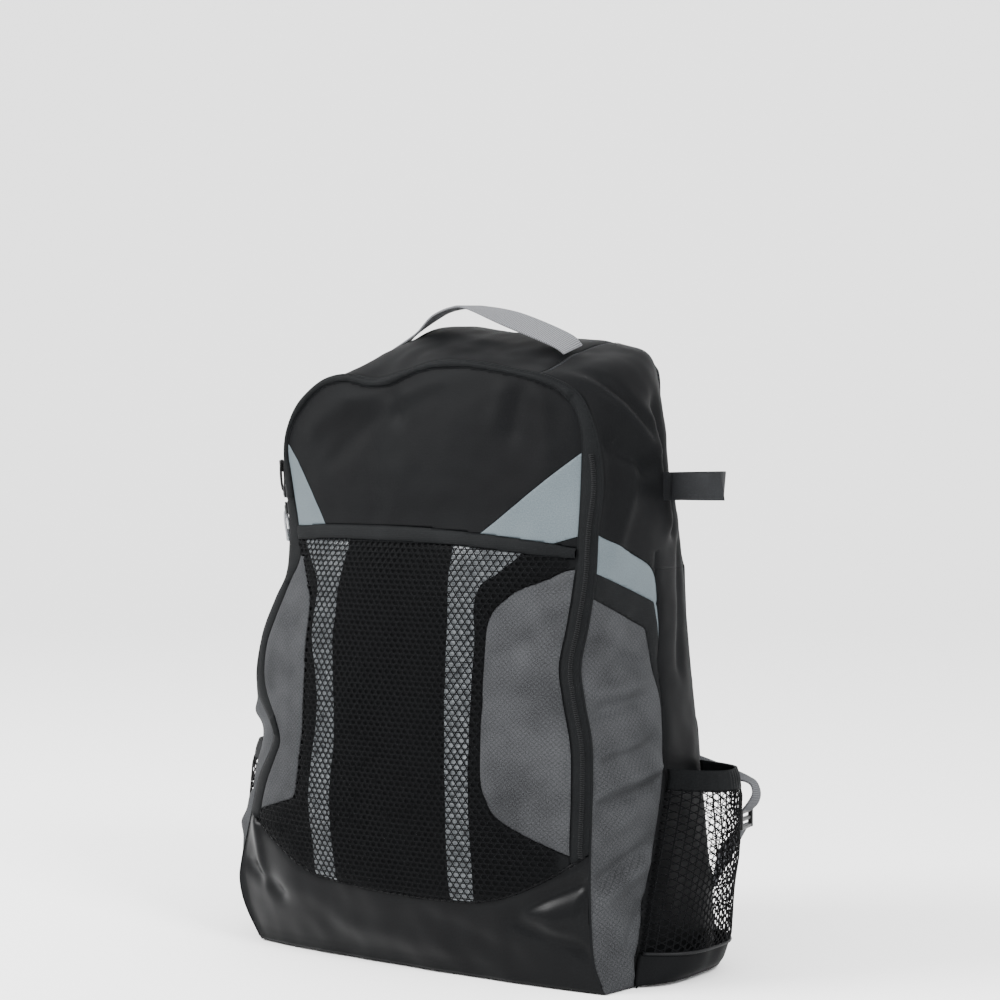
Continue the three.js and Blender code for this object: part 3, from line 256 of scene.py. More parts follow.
# Where the frame stands: the CAD group was centred after it was built.
topBox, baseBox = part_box("top_panel"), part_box("base_panel")
topEnd = pack["handleEnd"] * halfWidth - pack["seamGap"] / 2
baseRear = float(backY(pack["floorLift"])) - pack["backPad"] - 2 * pack["seamGap"]
shift = np.array([topBox[1][0] / mm - topEnd, baseBox[1][1] / mm - baseRear, 0])
print("frame shift in mm", shift.round(2))

zipEdge = curveThrough(hoopRows[:, :2], np.linspace(0, 37, 260)) * (halfWidth, height)
zipEdge[:, 1] = np.maximum(zipEdge[:, 1], pack["floorLift"])


def movedIn(line, distance):
    step = np.gradient(line, axis=0)
    side = np.stack([-step[:, 1], step[:, 0]], axis=1)
    side /= np.maximum(np.linalg.norm(side, axis=1), 1e-9)[:, None]
    return line + side * distance


def footed(line):
    # a field open at the floor
    return np.vstack([[(line[0][0], -900)], line, [(line[-1][0], -900)]])


outerField = footed(zipEdge)
zipLine = curveThrough(archRows, np.linspace(0, len(archRows) - 1, 5 * len(archRows))) * (halfWidth, height)
zipField = footed(zipLine)
coilLine = movedIn(zipEdge, pack["zipBand"] * 0.5)
coilLine = coilLine[(coilLine[:, 0] > 0) & (coilLine[:, 1] < 0.80 * height)]
lines = {"boot": smoothLine(bootTop), "hemTop": smoothLine(hemTop), "hemBottom": smoothLine(hemBottom),
         "greyRight": smoothLine(greyRight), "greyLeft": smoothLine(greyLeft)}
closed = {"stripeRight": smoothLine(stripeRight, True), "stripeLeft": smoothLine(stripeLeft, True),
          "accentRight": np.array(accentRight) * (halfWidth, height),
          "accentLeft": np.array(accentLeft) * (halfWidth, height)}


# materials
def fromHex(text):
    parts = [int(text[i:i + 2], 16) / 255 for i in (1, 3, 5)]
    return tuple(c / 12.92 if c <= 0.04045 else ((c + 0.055) / 1.055) ** 2.4 for c in parts) + (1.0,)


def addNode(tree, kind, settings=None, inputs=None):
    node = tree.nodes.new(kind)
    for key, value in (settings or {}).items():
        setattr(node, key, value)
    for key, value in (inputs or {}).items():
        if isinstance(value, bpy.types.NodeSocket):
            tree.links.new(value, node.inputs[key])
        else:
            node.inputs[key].default_value = value
    return node


def newMaterial(name):
    material = bpy.data.materials.new(name)
    material.use_nodes = True
    material.node_tree.nodes.clear()
    return material, material.node_tree


def finishMaterial(tree, shader):
    addNode(tree, "ShaderNodeOutputMaterial", None, {"Surface": shader.outputs["BSDF"]})


def ramp(node, stops):
    bar = node.color_ramp
    while len(bar.elements) > len(stops):
        bar.elements.remove(bar.elements[-1])
    while len(bar.elements) < len(stops):
        bar.elements.new(1.0)
    for element, (place, color) in zip(bar.elements, stops):
        element.position, element.color = place, color


# Thread, speck, grid and mottle are in mm on the cloth's own map. The real threads are
# 0.3 mm apart, too fine for the render, so they are drawn about 1 mm apart.
clothLooks = {
    # plain-woven 600 denier polyester: black, matt, with soft slow shade changes
    "polyesterCloth": {"dark": "#060607", "light": "#0d0e0f", "thread": 1.1, "roughness": 0.6, "specular": 0.04,
                       "speck": 0.9, "grid": 0, "bump": 0.10, "mottle": 60},
    # polyester of mixed grey yarns with small ripstop diamonds: a speckled mid grey
    "ripstopHeather": {"dark": "#161718", "light": "#3c3d3f", "thread": 1.0, "roughness": 0.8, "specular": 0.05,
                       "speck": 0.8, "grid": 2.8, "bump": 0.22, "mottle": 40},
    # plain-woven polyester dyed blue-grey: even and matt, the lightest cloth
    "lightPolyester": {"dark": "#3f474b", "light": "#50585c", "thread": 1.0, "roughness": 0.55, "specular": 0.1,
                       "speck": 1.0, "grid": 0, "bump": 0.06, "mottle": 50},
    # woven tape folded over an edge: black, a little coarser and duller than the cloth
    "foldedBinding": {"dark": "#08090a", "light": "#101112", "thread": 1.4, "roughness": 0.65, "specular": 0.05,
                      "speck": 1.2, "grid": 0, "bump": 0.2, "mottle": 30},
    # flat-woven nylon strap: smooth, dark, with a faint shine
    "loopWebbing": {"dark": "#0e0f10", "light": "#1d1e20", "thread": 0.9, "roughness": 0.6, "specular": 0.1,
                    "speck": 1.0, "grid": 0, "bump": 0.12, "mottle": 25},
    # coated reflective tape: glossy grey with pale flecks, seen through the net
    "silverTape": {"dark": "#303336", "light": "#6c7073", "thread": 0.9, "roughness": 0.32, "specular": 0.3,
                   "speck": 5.0, "grid": 0, "bump": 0.05, "mottle": 18},
    # nylon with a polyurethane coat: black, with wide soft highlights on its folds
    "coatedNylon": {"dark": "#060607", "light": "#0b0c0d", "thread": 1.0, "roughness": 0.32, "specular": 0.06,
                    "speck": 1.4, "grid": 0, "bump": 0.05, "mottle": 45},
}


waveScale = 0.314  # a Wave texture's scale for one band per unit of its coordinates


def clothMaterial(name, look):
    # threads crossing, a grain of lighter fibres and slow shade changes
    material, tree = newMaterial(name)
    cloth = addNode(tree, "ShaderNodeUVMap", {"uv_map": "cloth"}).outputs["UV"]
    warp = addNode(tree, "ShaderNodeTexWave", {"bands_direction": "X"},
                   {"Vector": cloth, "Scale": waveScale / look["thread"], "Distortion": 1.0, "Detail": 1.0})
    weft = addNode(tree, "ShaderNodeTexWave", {"bands_direction": "Y"},
                   {"Vector": cloth, "Scale": waveScale / look["thread"], "Distortion": 1.0, "Detail": 1.0})
    weave = addNode(tree, "ShaderNodeMath", {"operation": "MULTIPLY"},
                    {0: warp.outputs["Fac"], 1: weft.outputs["Fac"]})
    speck = addNode(tree, "ShaderNodeTexNoise", None,
                    {"Vector": cloth, "Scale": 1 / look["speck"], "Detail": 3.0, "Roughness": 0.7})
    mottle = addNode(tree, "ShaderNodeTexNoise", None,
                     {"Vector": cloth, "Scale": 1 / look["mottle"], "Detail": 2.0})
    blend = addNode(tree, "ShaderNodeMath", {"operation": "MULTIPLY_ADD"},
                    {0: mottle.outputs["Fac"], 1: 0.35, 2: -0.17})
    shade = addNode(tree, "ShaderNodeMath", {"operation": "ADD"},
                    {0: speck.outputs["Fac"], 1: blend.outputs["Value"]})
    colors = addNode(tree, "ShaderNodeValToRGB", None, {"Fac": shade.outputs["Value"]})
    ramp(colors, [(0.32, fromHex(look["dark"])), (0.68, fromHex(look["light"]))])
    color, heightNode = colors.outputs["Color"], weave.outputs["Value"]
    if look["grid"]:
        # small diamonds of thicker thread
        turned = addNode(tree, "ShaderNodeMapping", None,
                         {"Vector": cloth, "Rotation": (0, 0, math.radians(45))})
        lineA = addNode(tree, "ShaderNodeTexWave", {"bands_direction": "X"},
                        {"Vector": turned.outputs["Vector"], "Scale": waveScale / look["grid"]})
        lineB = addNode(tree, "ShaderNodeTexWave", {"bands_direction": "Y"},
                        {"Vector": turned.outputs["Vector"], "Scale": waveScale / look["grid"]})
        lesser = addNode(tree, "ShaderNodeMath", {"operation": "MINIMUM"},
                         {0: lineA.outputs["Fac"], 1: lineB.outputs["Fac"]})
        thin = addNode(tree, "ShaderNodeMapRange", None,
                       {"Value": lesser.outputs["Value"], "From Min": 0.0, "From Max": 0.22,
                        "To Min": 0.74, "To Max": 1.0})
        color = addNode(tree, "ShaderNodeVectorMath", {"operation": "SCALE"},
                        {0: color, "Scale": thin.outputs["Result"]}).outputs["Vector"]
    bump = addNode(tree, "ShaderNodeBump", None,
                   {"Height": heightNode, "Strength": look["bump"], "Distance": 0.0006})
    shader = addNode(tree, "ShaderNodeBsdfPrincipled", None,
                     {"Base Color": color, "Roughness": look["roughness"], "Normal": bump.outputs["Normal"],
                      "Specular IOR Level": look["specular"]})
    finishMaterial(tree, shader)
    return material


materials = {name: clothMaterial(name, look) for name, look in clothLooks.items()}


def webbingMaterial(name, dark, light, rib):
    # woven strap: ribs across it, fine fuzz, no gloss
    material, tree = newMaterial(name)
    cloth = addNode(tree, "ShaderNodeUVMap", {"uv_map": "cloth"}).outputs["UV"]
    ribs = addNode(tree, "ShaderNodeTexWave", {"bands_direction": "X"},
                   {"Vector": cloth, "Scale": waveScale / rib, "Distortion": 1.5,
                    "Detail": 2.0, "Detail Scale": 2.0})
    rows = addNode(tree, "ShaderNodeTexWave", {"bands_direction": "Y"},
                   {"Vector": cloth, "Scale": waveScale / (rib * 1.4), "Distortion": 0.6})
    speck = addNode(tree, "ShaderNodeTexNoise", None, {"Vector": cloth, "Scale": 0.9, "Detail": 3.0})
    mixed = addNode(tree, "ShaderNodeMath", {"operation": "MULTIPLY_ADD"},
                    {0: ribs.outputs["Fac"], 1: 0.55, 2: 0.1})
    total = addNode(tree, "ShaderNodeMath", {"operation": "MULTIPLY_ADD"},
                    {0: speck.outputs["Fac"], 1: 0.5, 2: mixed.outputs["Value"]})
    colors = addNode(tree, "ShaderNodeValToRGB", None, {"Fac": total.outputs["Value"]})
    ramp(colors, [(0.2, fromHex(dark)), (0.85, fromHex(light))])
    relief = addNode(tree, "ShaderNodeMath", {"operation": "MULTIPLY_ADD"},
                     {0: rows.outputs["Fac"], 1: 0.3, 2: ribs.outputs["Fac"]})
    bump = addNode(tree, "ShaderNodeBump", None,
                   {"Height": relief.outputs["Value"], "Strength": 0.5, "Distance": 0.0005})
    shader = addNode(tree, "ShaderNodeBsdfPrincipled", None,
                     {"Base Color": colors.outputs["Color"], "Roughness": 0.8, "Specular IOR Level": 0.08,
                      "Normal": bump.outputs["Normal"]})
    finishMaterial(tree, shader)
    return material


def solidMaterial(name, look):
    # a surface read in object space: a fine grain in colour and relief
    material, tree = newMaterial(name)
    place = addNode(tree, "ShaderNodeTexCoord").outputs["Object"]
    fine = addNode(tree, "ShaderNodeTexNoise", None,
                   {"Vector": place, "Scale": 1000 / look["grain"], "Detail": 3.0})
    colors = addNode(tree, "ShaderNodeValToRGB", None, {"Fac": fine.outputs["Fac"]})
    ramp(colors, [(0.3, fromHex(look["dark"])), (0.7, fromHex(look["light"]))])
    bump = addNode(tree, "ShaderNodeBump", None,
                   {"Height": fine.outputs["Fac"], "Strength": look["bump"], "Distance": 0.0003})
    shader = addNode(tree, "ShaderNodeBsdfPrincipled", None,
                     {"Base Color": colors.outputs["Color"], "Roughness": look["roughness"],
                      "Metallic": look.get("metallic", 0.0), "Coat Weight": look.get("coat", 0.0),
                      "Specular IOR Level": look["specular"], "Normal": bump.outputs["Normal"]})
    finishMaterial(tree, shader)
    return material


# grain in mm
solidLooks = {
    # knitted nylon yarn: black and dull, so the holes read and the yarn doesn't shine
    "nylonNet": {"dark": "#040405", "light": "#0b0c0d", "roughness": 0.7, "grain": 1.2, "bump": 0.3,
                 "specular": 0.04},
    # injection-moulded acetal: black, half matt, with a fine spark-eroded grain
    "acetal": {"dark": "#0c0c0d", "light": "#131314", "roughness": 0.42, "grain": 0.7, "bump": 0.15,
               "specular": 0.3},
    # die-cast zinc under black enamel: smooth, with small sharp highlights
    "blackEnamel": {"dark": "#1a1b1c", "light": "#2a2b2c", "roughness": 0.35, "grain": 2.0, "bump": 0.05,
                    "specular": 0.4, "metallic": 0.6, "coat": 0.3},
    # coiled nylon monofilament: black, with a faint ladder of light
    "zipNylon": {"dark": "#0c0c0d", "light": "#151617", "roughness": 0.5, "grain": 0.8, "bump": 0.1,
                 "specular": 0.1},
    # bonded polyester thread: a little lighter than the cloth that it sews
    "thread": {"dark": "#26272a", "light": "#3a3b3e", "roughness": 0.7, "grain": 0.6, "bump": 0.2,
               "specular": 0.1},
    # braided polyester cord: pale grey and matt
    "greyCord": {"dark": "#5a5c5f", "light": "#8d8f92", "roughness": 0.7, "grain": 0.9, "bump": 0.4,
                 "specular": 0.15},
}
# woven polyester webbing, mid grey for the handle and charcoal for the lower straps: ribs across, matt
materials["greyWebbing"] = webbingMaterial("greyWebbing", "#242527", "#6c6d70", 1.8)
materials["charcoalWebbing"] = webbingMaterial("charcoalWebbing", "#232426", "#525356", 1.5)
for name, look in solidLooks.items():
    materials[name] = solidMaterial(name, look)


def spacerMaterial(name, dark, light, cell):
    # knitted air mesh over foam: rows of small open cells, drawn on the pad's own plane
    material, tree = newMaterial(name)
    place = addNode(tree, "ShaderNodeTexCoord").outputs["Object"]
    place = addNode(tree, "ShaderNodeMapping", None, {"Vector": place, "Scale": (1, 0, 1)}).outputs["Vector"]
    cells = addNode(tree, "ShaderNodeTexVoronoi", {"feature": "DISTANCE_TO_EDGE"},
                    {"Vector": place, "Scale": 1000 / cell, "Randomness": 0.25})
    rim = addNode(tree, "ShaderNodeMapRange", None,
                  {"Value": cells.outputs["Distance"], "From Min": 0.08, "From Max": 0.3,
                   "To Min": 1.0, "To Max": 0.0})
    colors = addNode(tree, "ShaderNodeValToRGB", None, {"Fac": rim.outputs["Result"]})
    ramp(colors, [(0.1, fromHex(dark)), (0.9, fromHex(light))])
    bump = addNode(tree, "ShaderNodeBump", None,
                   {"Height": rim.outputs["Result"], "Strength": 0.6, "Distance": 0.0008})
    shader = addNode(tree, "ShaderNodeBsdfPrincipled", None,
                     {"Base Color": colors.outputs["Color"], "Roughness": 0.85, "Specular IOR Level": 0.08,
                      "Normal": bump.outputs["Normal"]})
    finishMaterial(tree, shader)
    return material


materials["spacerMesh"] = spacerMaterial("spacerMesh", "#060607", "#1a1b1c", 3.2)
print("materials made")


# making pieces
def toMetres(points):
    return (np.asarray(points) + shift) * mm


def softNoise(points, size, seed):
    start = Vector((seed, seed * 0.37, -seed))
    return np.array([noise.noise(Vector(p) / size + start) for p in points])


def ridges(across, up, folds):
    # each fold: two ends, how wide and how high it stands, mm
    total = np.zeros(len(across))
    for ax, az, bx, bz, width, rise in folds:
        d = np.array([bx - ax, bz - az])
        span = max(np.hypot(*d), 1.0)
        along = ((across - ax) * d[0] + (up - az) * d[1]) / span
        off = ((across - ax) * -d[1] + (up - az) * d[0]) / span
        past = np.maximum(np.maximum(-along, along - span), 0)
        total += rise * np.exp(-(off / width) ** 2 - (past / (1.3 * width)) ** 2)
    return total


def gridMesh(columns, rows):
    bm = bmesh.new()
    bmesh.ops.create_grid(bm, x_segments=columns, y_segments=rows, size=0.5)
    bmesh.ops.translate(bm, verts=bm.verts, vec=(0.5, 0.5, 0))
    return bm


def coords(bm):
    return np.array([v.co[:] for v in bm.verts])


def setCoords(bm, points):
    for vert, point in zip(bm.verts, points):
        vert.co = point


def mapCloth(bm, scale=(1, 1)):
    # the cloth's own map, in mm, from where the points lie now
    layer = bm.loops.layers.uv.get("cloth") or bm.loops.layers.uv.new("cloth")
    for face in bm.faces:
        for loop in face.loops:
            loop[layer].uv = (loop.vert.co.x * scale[0], loop.vert.co.y * scale[1])


def cutAlong(bm, values):
    # new edges where the values at the vertices change sign
    bm.verts.index_update()
    crossed = []
    for edge in bm.edges:
        a, b = (values[v.index] for v in edge.verts)
        if a * b < 0:
            crossed.append((edge, edge.verts[0], a / (a - b)))
    fresh = [bmesh.utils.edge_split(edge, vert, min(max(t, 0.02), 0.98))[1] for edge, vert, t in crossed]
    if fresh:
        bmesh.ops.connect_verts(bm, verts=fresh)


def keepFaces(bm, wanted):
    # a copy that has only the wanted faces
    part = bm.copy()
    part.faces.ensure_lookup_table()
    drop = [face for face, keep in zip(part.faces, wanted) if not keep]
    bmesh.ops.delete(part, geom=drop, context="FACES")
    return part


def centres(bm):
    return np.array([face.calc_center_median()[:] for face in bm.faces])


def addPiece(name, bm, material, nodes=(), metres=False, wall=0.0, smooth=True):
    if not metres:
        setCoords(bm, toMetres(coords(bm)))
    mesh = bpy.data.meshes.new(name)
    bm.to_mesh(mesh)
    bm.free()
    mesh.polygons.foreach_set("use_smooth", [smooth] * len(mesh.polygons))
    piece = bpy.data.objects.new(name, mesh)
    bpy.context.scene.collection.objects.link(piece)
    mesh.materials.append(materials[material])
    if wall:
        solid = piece.modifiers.new("wall", "SOLIDIFY")
        solid.thickness, solid.offset, solid.use_even_offset = wall * mm, -1, False
    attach(piece, "root")
    if nodes:
        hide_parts(*nodes)
    return piece


sheetSizes = {}


def declareCloth(piece, bmArea, extent, strip=0):
    # cut size: the flat area and the box that it was cut from, in metres
    if strip:
        extent = (strip, bmArea / strip)
    width, length = (max(float(e), 12) * mm for e in extent)
    grow = math.sqrt(max(bmArea * mm * mm / (width * length), 1.0)) * 1.001
    width, length = width * grow, length * grow
    sheetSizes[piece.name] = (round(width, 3), round(length, 3))


def meshArea(bm):
    return sum(face.calc_area() for face in bm.faces)


def faceOut(bm, direction):
    # one open sheet, turned so its front looks along direction(centre)
    bmesh.ops.recalc_face_normals(bm, faces=bm.faces)
    total = sum(f.normal.dot(Vector(direction(f.calc_center_median()))) * f.calc_area() for f in bm.faces)
    if total < 0:
        bmesh.ops.reverse_faces(bm, faces=bm.faces)


def cordAlong(name, points, radius, material, sides=8, closedLoop=False):
    # a round piping or cord through points in mm
    line = bpy.data.curves.new(name, "CURVE")
    line.dimensions, line.bevel_depth, line.bevel_resolution = "3D", radius * mm, sides // 4
    line.use_fill_caps = True
    spline = line.splines.new("POLY")
    spline.points.add(len(points) - 1)
    for slotPoint, point in zip(spline.points, toMetres(points)):
        slotPoint.co = (*point, 1)
    spline.use_cyclic_u = closedLoop
    rough = bpy.data.objects.new(name + "_line", line)
    mesh = bpy.data.meshes.new_from_object(rough)
    bpy.data.objects.remove(rough)
    bm = bmesh.new()
    bm.from_mesh(mesh)
    bpy.data.meshes.remove(mesh)
    bmesh.ops.remove_doubles(bm, verts=bm.verts, dist=1e-6)
    bm.loops.layers.uv.verify()
    return addPiece(name, bm, material, (), metres=True)


def evenly(points, pitch):
    # points at an even pitch along a line
    points = np.asarray(points, float)
    lengths = np.concatenate([[0], np.cumsum(np.linalg.norm(np.diff(points, axis=0), axis=1))])
    count = max(int(lengths[-1] / pitch), 2)
    at = np.linspace(0, lengths[-1], count + 1)
    return np.stack([np.interp(at, lengths, points[:, k]) for k in range(points.shape[1])], axis=1)


def stitches(name, rows, material="thread", size=(2.2, 0.55, 0.35), pitch=3.4):
    # short thread bars along lines; rows are (points, outward directions) in mm
    bm = bmesh.new()
    for points, outward in rows:
        line = evenly(np.hstack([points, outward]), pitch)
        for a, b in zip(line[:-1], line[1:]):
            middle = (a[:3] + b[:3]) / 2
            along = Vector(b[:3] - a[:3]).normalized()
            up = Vector(a[3:]).normalized()
            side = along.cross(up).normalized()
            up = side.cross(along)
            turn = Matrix((along * size[0], side * size[1], up * size[2])).transposed().to_4x4()
            bmesh.ops.create_cube(bm, size=1.0, matrix=Matrix.Translation(middle) @ turn)
    return addPiece(name, bm, material, (), smooth=False)


# front
frontLook = {"columns": 172, "rows": 224, "left": -1.14, "right": 1.03, "top": 0.978}
frontFolds = [
    (-125, 428, -70, 458, 13, 3.0), (-100, 400, -60, 432, 9, -1.6), (-52, 470, -34, 438, 8, -3.2),
    (-38, 448, 0, 462, 9, 1.8), (-58, 415, -42, 348, 11, -1.8), (-30, 420, -22, 370, 16, 1.2),
    (70, 466, 62, 430, 9, 1.8), (86, 462, 80, 424, 7, -1.6), (104, 452, 112, 410, 8, 1.4),
    (92, 256, 142, 286, 8, -2.4), (90, 236, 138, 258, 11, 1.8), (80, 214, 132, 228, 8, -1.4),
    (136, 50, 158, 60, 15, 6.0), (100, 50, 166, 30, 6, -3.6), (104, 60, 160, 86, 6, -3.6),
    (-166, 100, -152, 56, 6, 2.6), (-172, 64, -134, 48, 7, -3.2), (-120, 58, -60, 38, 13, 1.8),
    (-60, 30, 30, 22, 10, 1.6), (30, 46, 90, 26, 9, -1.4),
]


def frontRelief(x, z):
    spots = np.stack([x, z], axis=1)
    dip = np.zeros(len(x))
    inZip = insideOf(zipField, spots)
    inOuter = insideOf(outerField, spots)
    aboveBoot = -insideOf(under(lines["boot"]), spots)
    dip -= np.where(aboveBoot < -2, 0, 1.4 * np.exp(-np.abs(inZip) / 3.0))
    dip -= 1.5 * np.exp(-np.abs(aboveBoot) / 3.2)
    for key in ("greyRight", "greyLeft"):
        dip -= 1.0 * np.exp(-np.abs(insideOf(lines[key], spots)) / 2.4) * (inZip > 0)
    folds = ridges(x, z, frontFolds)
    rough = softNoise(np.stack([x, z * 0.7, z * 0], axis=1), 46, 3.1) * 1.8
    rough += softNoise(np.stack([x, z, z * 0], axis=1), 17, 8.4) * 0.5
    fade = np.clip(inZip / 12, 0, 1) + (aboveBoot < 0)
    return (dip + (folds + rough) * np.clip(fade, 0, 1)) * np.clip(inOuter / 7, 0, 1)


front = gridMesh(frontLook["columns"], frontLook["rows"])
flat = coords(front)
sheetX = (frontLook["left"] + (frontLook["right"] - frontLook["left"]) * flat[:, 0]) * halfWidth
sheetZ = pack["floorLift"] + (frontLook["top"] * height - pack["floorLift"]) * flat[:, 1]
setCoords(front, np.stack([sheetX, sheetZ, sheetX * 0], axis=1))
cuts = [outerField, zipField, under(lines["boot"]), under(lines["hemTop"]), under(lines["hemBottom"]),
        lines["greyRight"], lines["greyLeft"], closed["stripeRight"], closed["stripeLeft"],
        closed["accentRight"], closed["accentLeft"]]
for outline in cuts:
    cutAlong(front, insideOf(outline, coords(front)[:, :2]))
mapCloth(front)
middle = centres(front)[:, :2]
isIn = [insideOf(outline, middle) > 0 for outline in cuts]
outer, inZip, boot, belowTop, belowBottom, greyR, greyL, stripeR, stripeL, accentR, accentL = isIn
upper = inZip & outer & ~belowTop
lower = inZip & outer & belowBottom & ~boot
backing = lower & ~greyR & ~greyL
# faces, material, solids that it stands for, slot, lift in mm
regions = {
    "boot_shell": (outer & boot, "coatedNylon", ["boot_panel"], "coated_cloth", 0),
    "zip_tape": (outer & ~inZip & ~boot, "foldedBinding", ["zip_band"], "binding_cloth", 0.2),
    "upper_cloth": (upper & ~accentR & ~accentL, "polyesterCloth", ["upper_front_panel"], "black_cloth", 0),
    "accent_cloth_right": (upper & accentR, "lightPolyester", ["light_accent_right"], "light_cloth", 0.3),
    "accent_cloth_left": (upper & accentL, "lightPolyester", ["light_accent_left"], "light_cloth", 0.3),
    "mouth_hem": (inZip & outer & belowTop & ~belowBottom, "foldedBinding", ["hem_band"], "binding_cloth", 3.2),
    "grey_cloth_right": (lower & greyR, "ripstopHeather", ["grey_front_panel_right"], "grey_ripstop", 1.6),
    "grey_cloth_left": (lower & greyL, "ripstopHeather", ["grey_front_panel_left"], "grey_ripstop", 1.6),
    "stripe_cloth_right": (lower & ~greyR & stripeR, "silverTape", ["shiny_stripe_right"], "shiny_tape", 0.4),
    "stripe_cloth_left": (lower & ~greyL & stripeL, "silverTape", ["shiny_stripe_left"], "shiny_tape", 0.4),
    "pocket_cloth": (backing & ~stripeR & ~stripeL, "polyesterCloth", ["pocket_backing"], "black_cloth", 0),
}
relief = frontRelief(coords(front)[:, 0], coords(front)[:, 1])
flat = coords(front)
depth = frontY(flat[:, 0], flat[:, 1]) - relief
setCoords(front, np.stack([flat[:, 0], depth, flat[:, 1]], axis=1))
for name, (wanted, material, nodes, slot, lift) in regions.items():
    part = keepFaces(front, wanted)
    spots = coords(part)
    if name == "zip_tape":
        toOuter = np.clip(insideOf(outerField, spots[:, [0, 2]]), 0, 30)
        toInner = np.clip(-insideOf(zipField, spots[:, [0, 2]]), 0, 30)
        wide = np.maximum(toOuter + toInner, 0.5)
        roll = np.sqrt(np.clip(4 * toOuter * toInner / wide ** 2, 0, 1))
        spots[:, 1] -= roll * np.where(wide < 9, 0.34 * wide, 1.1)  # a full roll over the arch
    if name == "mouth_hem":
        edges = np.minimum(np.abs(insideOf(under(lines["hemTop"]), spots[:, [0, 2]])),
                           np.abs(insideOf(under(lines["hemBottom"]), spots[:, [0, 2]])))
        spots[:, 1] += 1.4 * np.exp(-edges / 1.2)
    spots[:, 1] -= lift
    setCoords(part, spots)
    faceOut(part, lambda c: (0, -1, 0))
    area, size = meshArea(part), np.ptp(spots, axis=0)
    piece = addPiece(name, part, material, nodes, wall=1.5)
    strip = {"zip_tape": pack["zipBand"], "mouth_hem": 14}.get(name, 0)
    declareCloth(piece, area, (size[0], np.hypot(size[2], size[1] * 0.3)), strip=strip)
front.free()
print("front panels made")


# nets
def hexSheet(across, up, pitch, row, strand):
    # flat net of staggered six-sided holes, from (0, 0) to (across, up)
    bm = bmesh.new()
    columns, rows = int(across / pitch) + 2, int(up / row) + 2
    half = pitch / 2

    def copied(geom, vec):
        made = bmesh.ops.duplicate(bm, geom=geom)["geom"]
        bmesh.ops.translate(bm, verts=[g for g in made if isinstance(g, bmesh.types.BMVert)], vec=vec)

    stretch = Matrix.Diagonal((half / math.cos(math.pi / 6), row * 2 / 3, 1, 1))
    cell = stretch @ Matrix.Rotation(math.radians(30), 4, "Z")
    bmesh.ops.create_circle(bm, cap_ends=True, segments=6, radius=1.0, matrix=cell)
    first = bm.faces[:] + bm.edges[:] + bm.verts[:]
    for i in range(1, columns):
        copied(first, (i * pitch, 0, 0))
    line = bm.faces[:] + bm.edges[:] + bm.verts[:]
    for j in range(1, rows):
        copied(line, ((j % 2) * half, j * row, 0))
    bmesh.ops.remove_doubles(bm, verts=bm.verts, dist=pitch * 0.04)
    holes = bm.faces[:]
    bmesh.ops.inset_individual(bm, faces=holes, thickness=strand / 2, use_even_offset=True)
    bmesh.ops.delete(bm, geom=holes, context="FACES")
    return bm


# yarnRound: the yarn's own surface, over that of the flat net
netLook = {"pitch": 5.9, "row": 4.1, "strand": 1.45, "yarn": 0.55, "lift": 2.3, "yarnRound": 1.7}
net = hexSheet(300, 300, netLook["pitch"], netLook["row"], netLook["strand"])
bmesh.ops.translate(net, verts=net.verts, vec=(-172, 55, 0))
netEdges = [(zipField, 1), (under(lines["boot"]), -1), (under(lines["hemBottom"]), 1),
            (lines["greyRight"], -1), (lines["greyLeft"], -1)]  # 1 keeps what is inside the outline
for outline, keep in netEdges:
    cutAlong(net, insideOf(outline, coords(net)[:, :2]))
    wanted = keep * insideOf(outline, centres(net)[:, :2]) > 0
    trimmed = keepFaces(net, wanted)
    net.free()
    net = trimmed
spots = coords(net)
lift = netLook["lift"] + softNoise(spots * (1, 1, 0), 60, 5.5) * 1.2
depth = frontY(spots[:, 0], spots[:, 1]) - frontRelief(spots[:, 0], spots[:, 1]) - lift
setCoords(net, np.stack([spots[:, 0], depth, spots[:, 1]], axis=1))
faceOut(net, lambda c: (0, -1, 0))
netArea = meshArea(net)
piece = addPiece("front_netting", net, "nylonNet", ["front_net"], wall=netLook["yarn"])
declareCloth(piece, netArea * netLook["yarnRound"], (250, 270))
print("front net made")


# sides and top
gussetLook = {"columns": 440, "rows": 46}
sideFolds = {
    "right": [(-8, 152, -98, 136, 5, -4.0), (-12, 163, -94, 150, 7, 5.0), (-14, 182, -70, 172, 6, -2.6),
              (-20, 216, -94, 207, 6, -3.6), (-24, 228, -86, 222, 8, 3.4), (-87, 178, -32, 184, 6, 2.6),
              (-88, 79, -30, 102, 6, -4.0), (-86, 66, -34, 90, 8, 4.0), (-24, 243, -80, 266, 6, -2.8),
              (-84, 112, -44, 130, 7, 3.0), (-62, 46, -52, 10, 6, 2.4), (-36, 60, -60, 24, 5, -2.4),
              (-18, 393, -74, 423, 8, -3.4), (-12, 412, -60, 452, 9, 3.4), (-11, 416, -47, 461, 5, -2.2),
              (30, 350, 8, 440, 9, -3.6), (14, 352, -12, 430, 8, 3.0), (40, 240, 48, 330, 8, -2.6),
              (-52, 340, -36, 392, 8, 2.4), (-66, 350, -60, 420, 5, -1.8)],
    "left": [(-20, 150, -90, 130, 7, -4.0), (-30, 205, -90, 190, 8, 3.6), (-22, 240, -88, 236, 7, -3.0),
             (-88, 70, -40, 96, 7, -3.4), (-84, 96, -30, 120, 8, 3.2), (0, 380, -60, 410, 9, -2.8),
             (20, 350, 0, 430, 9, 3.0), (-10, 400, -50, 450, 8, 2.6)],
}
hoop = gridMesh(gussetLook["columns"], gussetLook["rows"])
flat = coords(hoop)
along = np.linalg.norm(np.diff(gusset(np.linspace(0, 37, 400), 0.5), axis=0), axis=1)
reach = np.concatenate([[0], np.cumsum(along)])
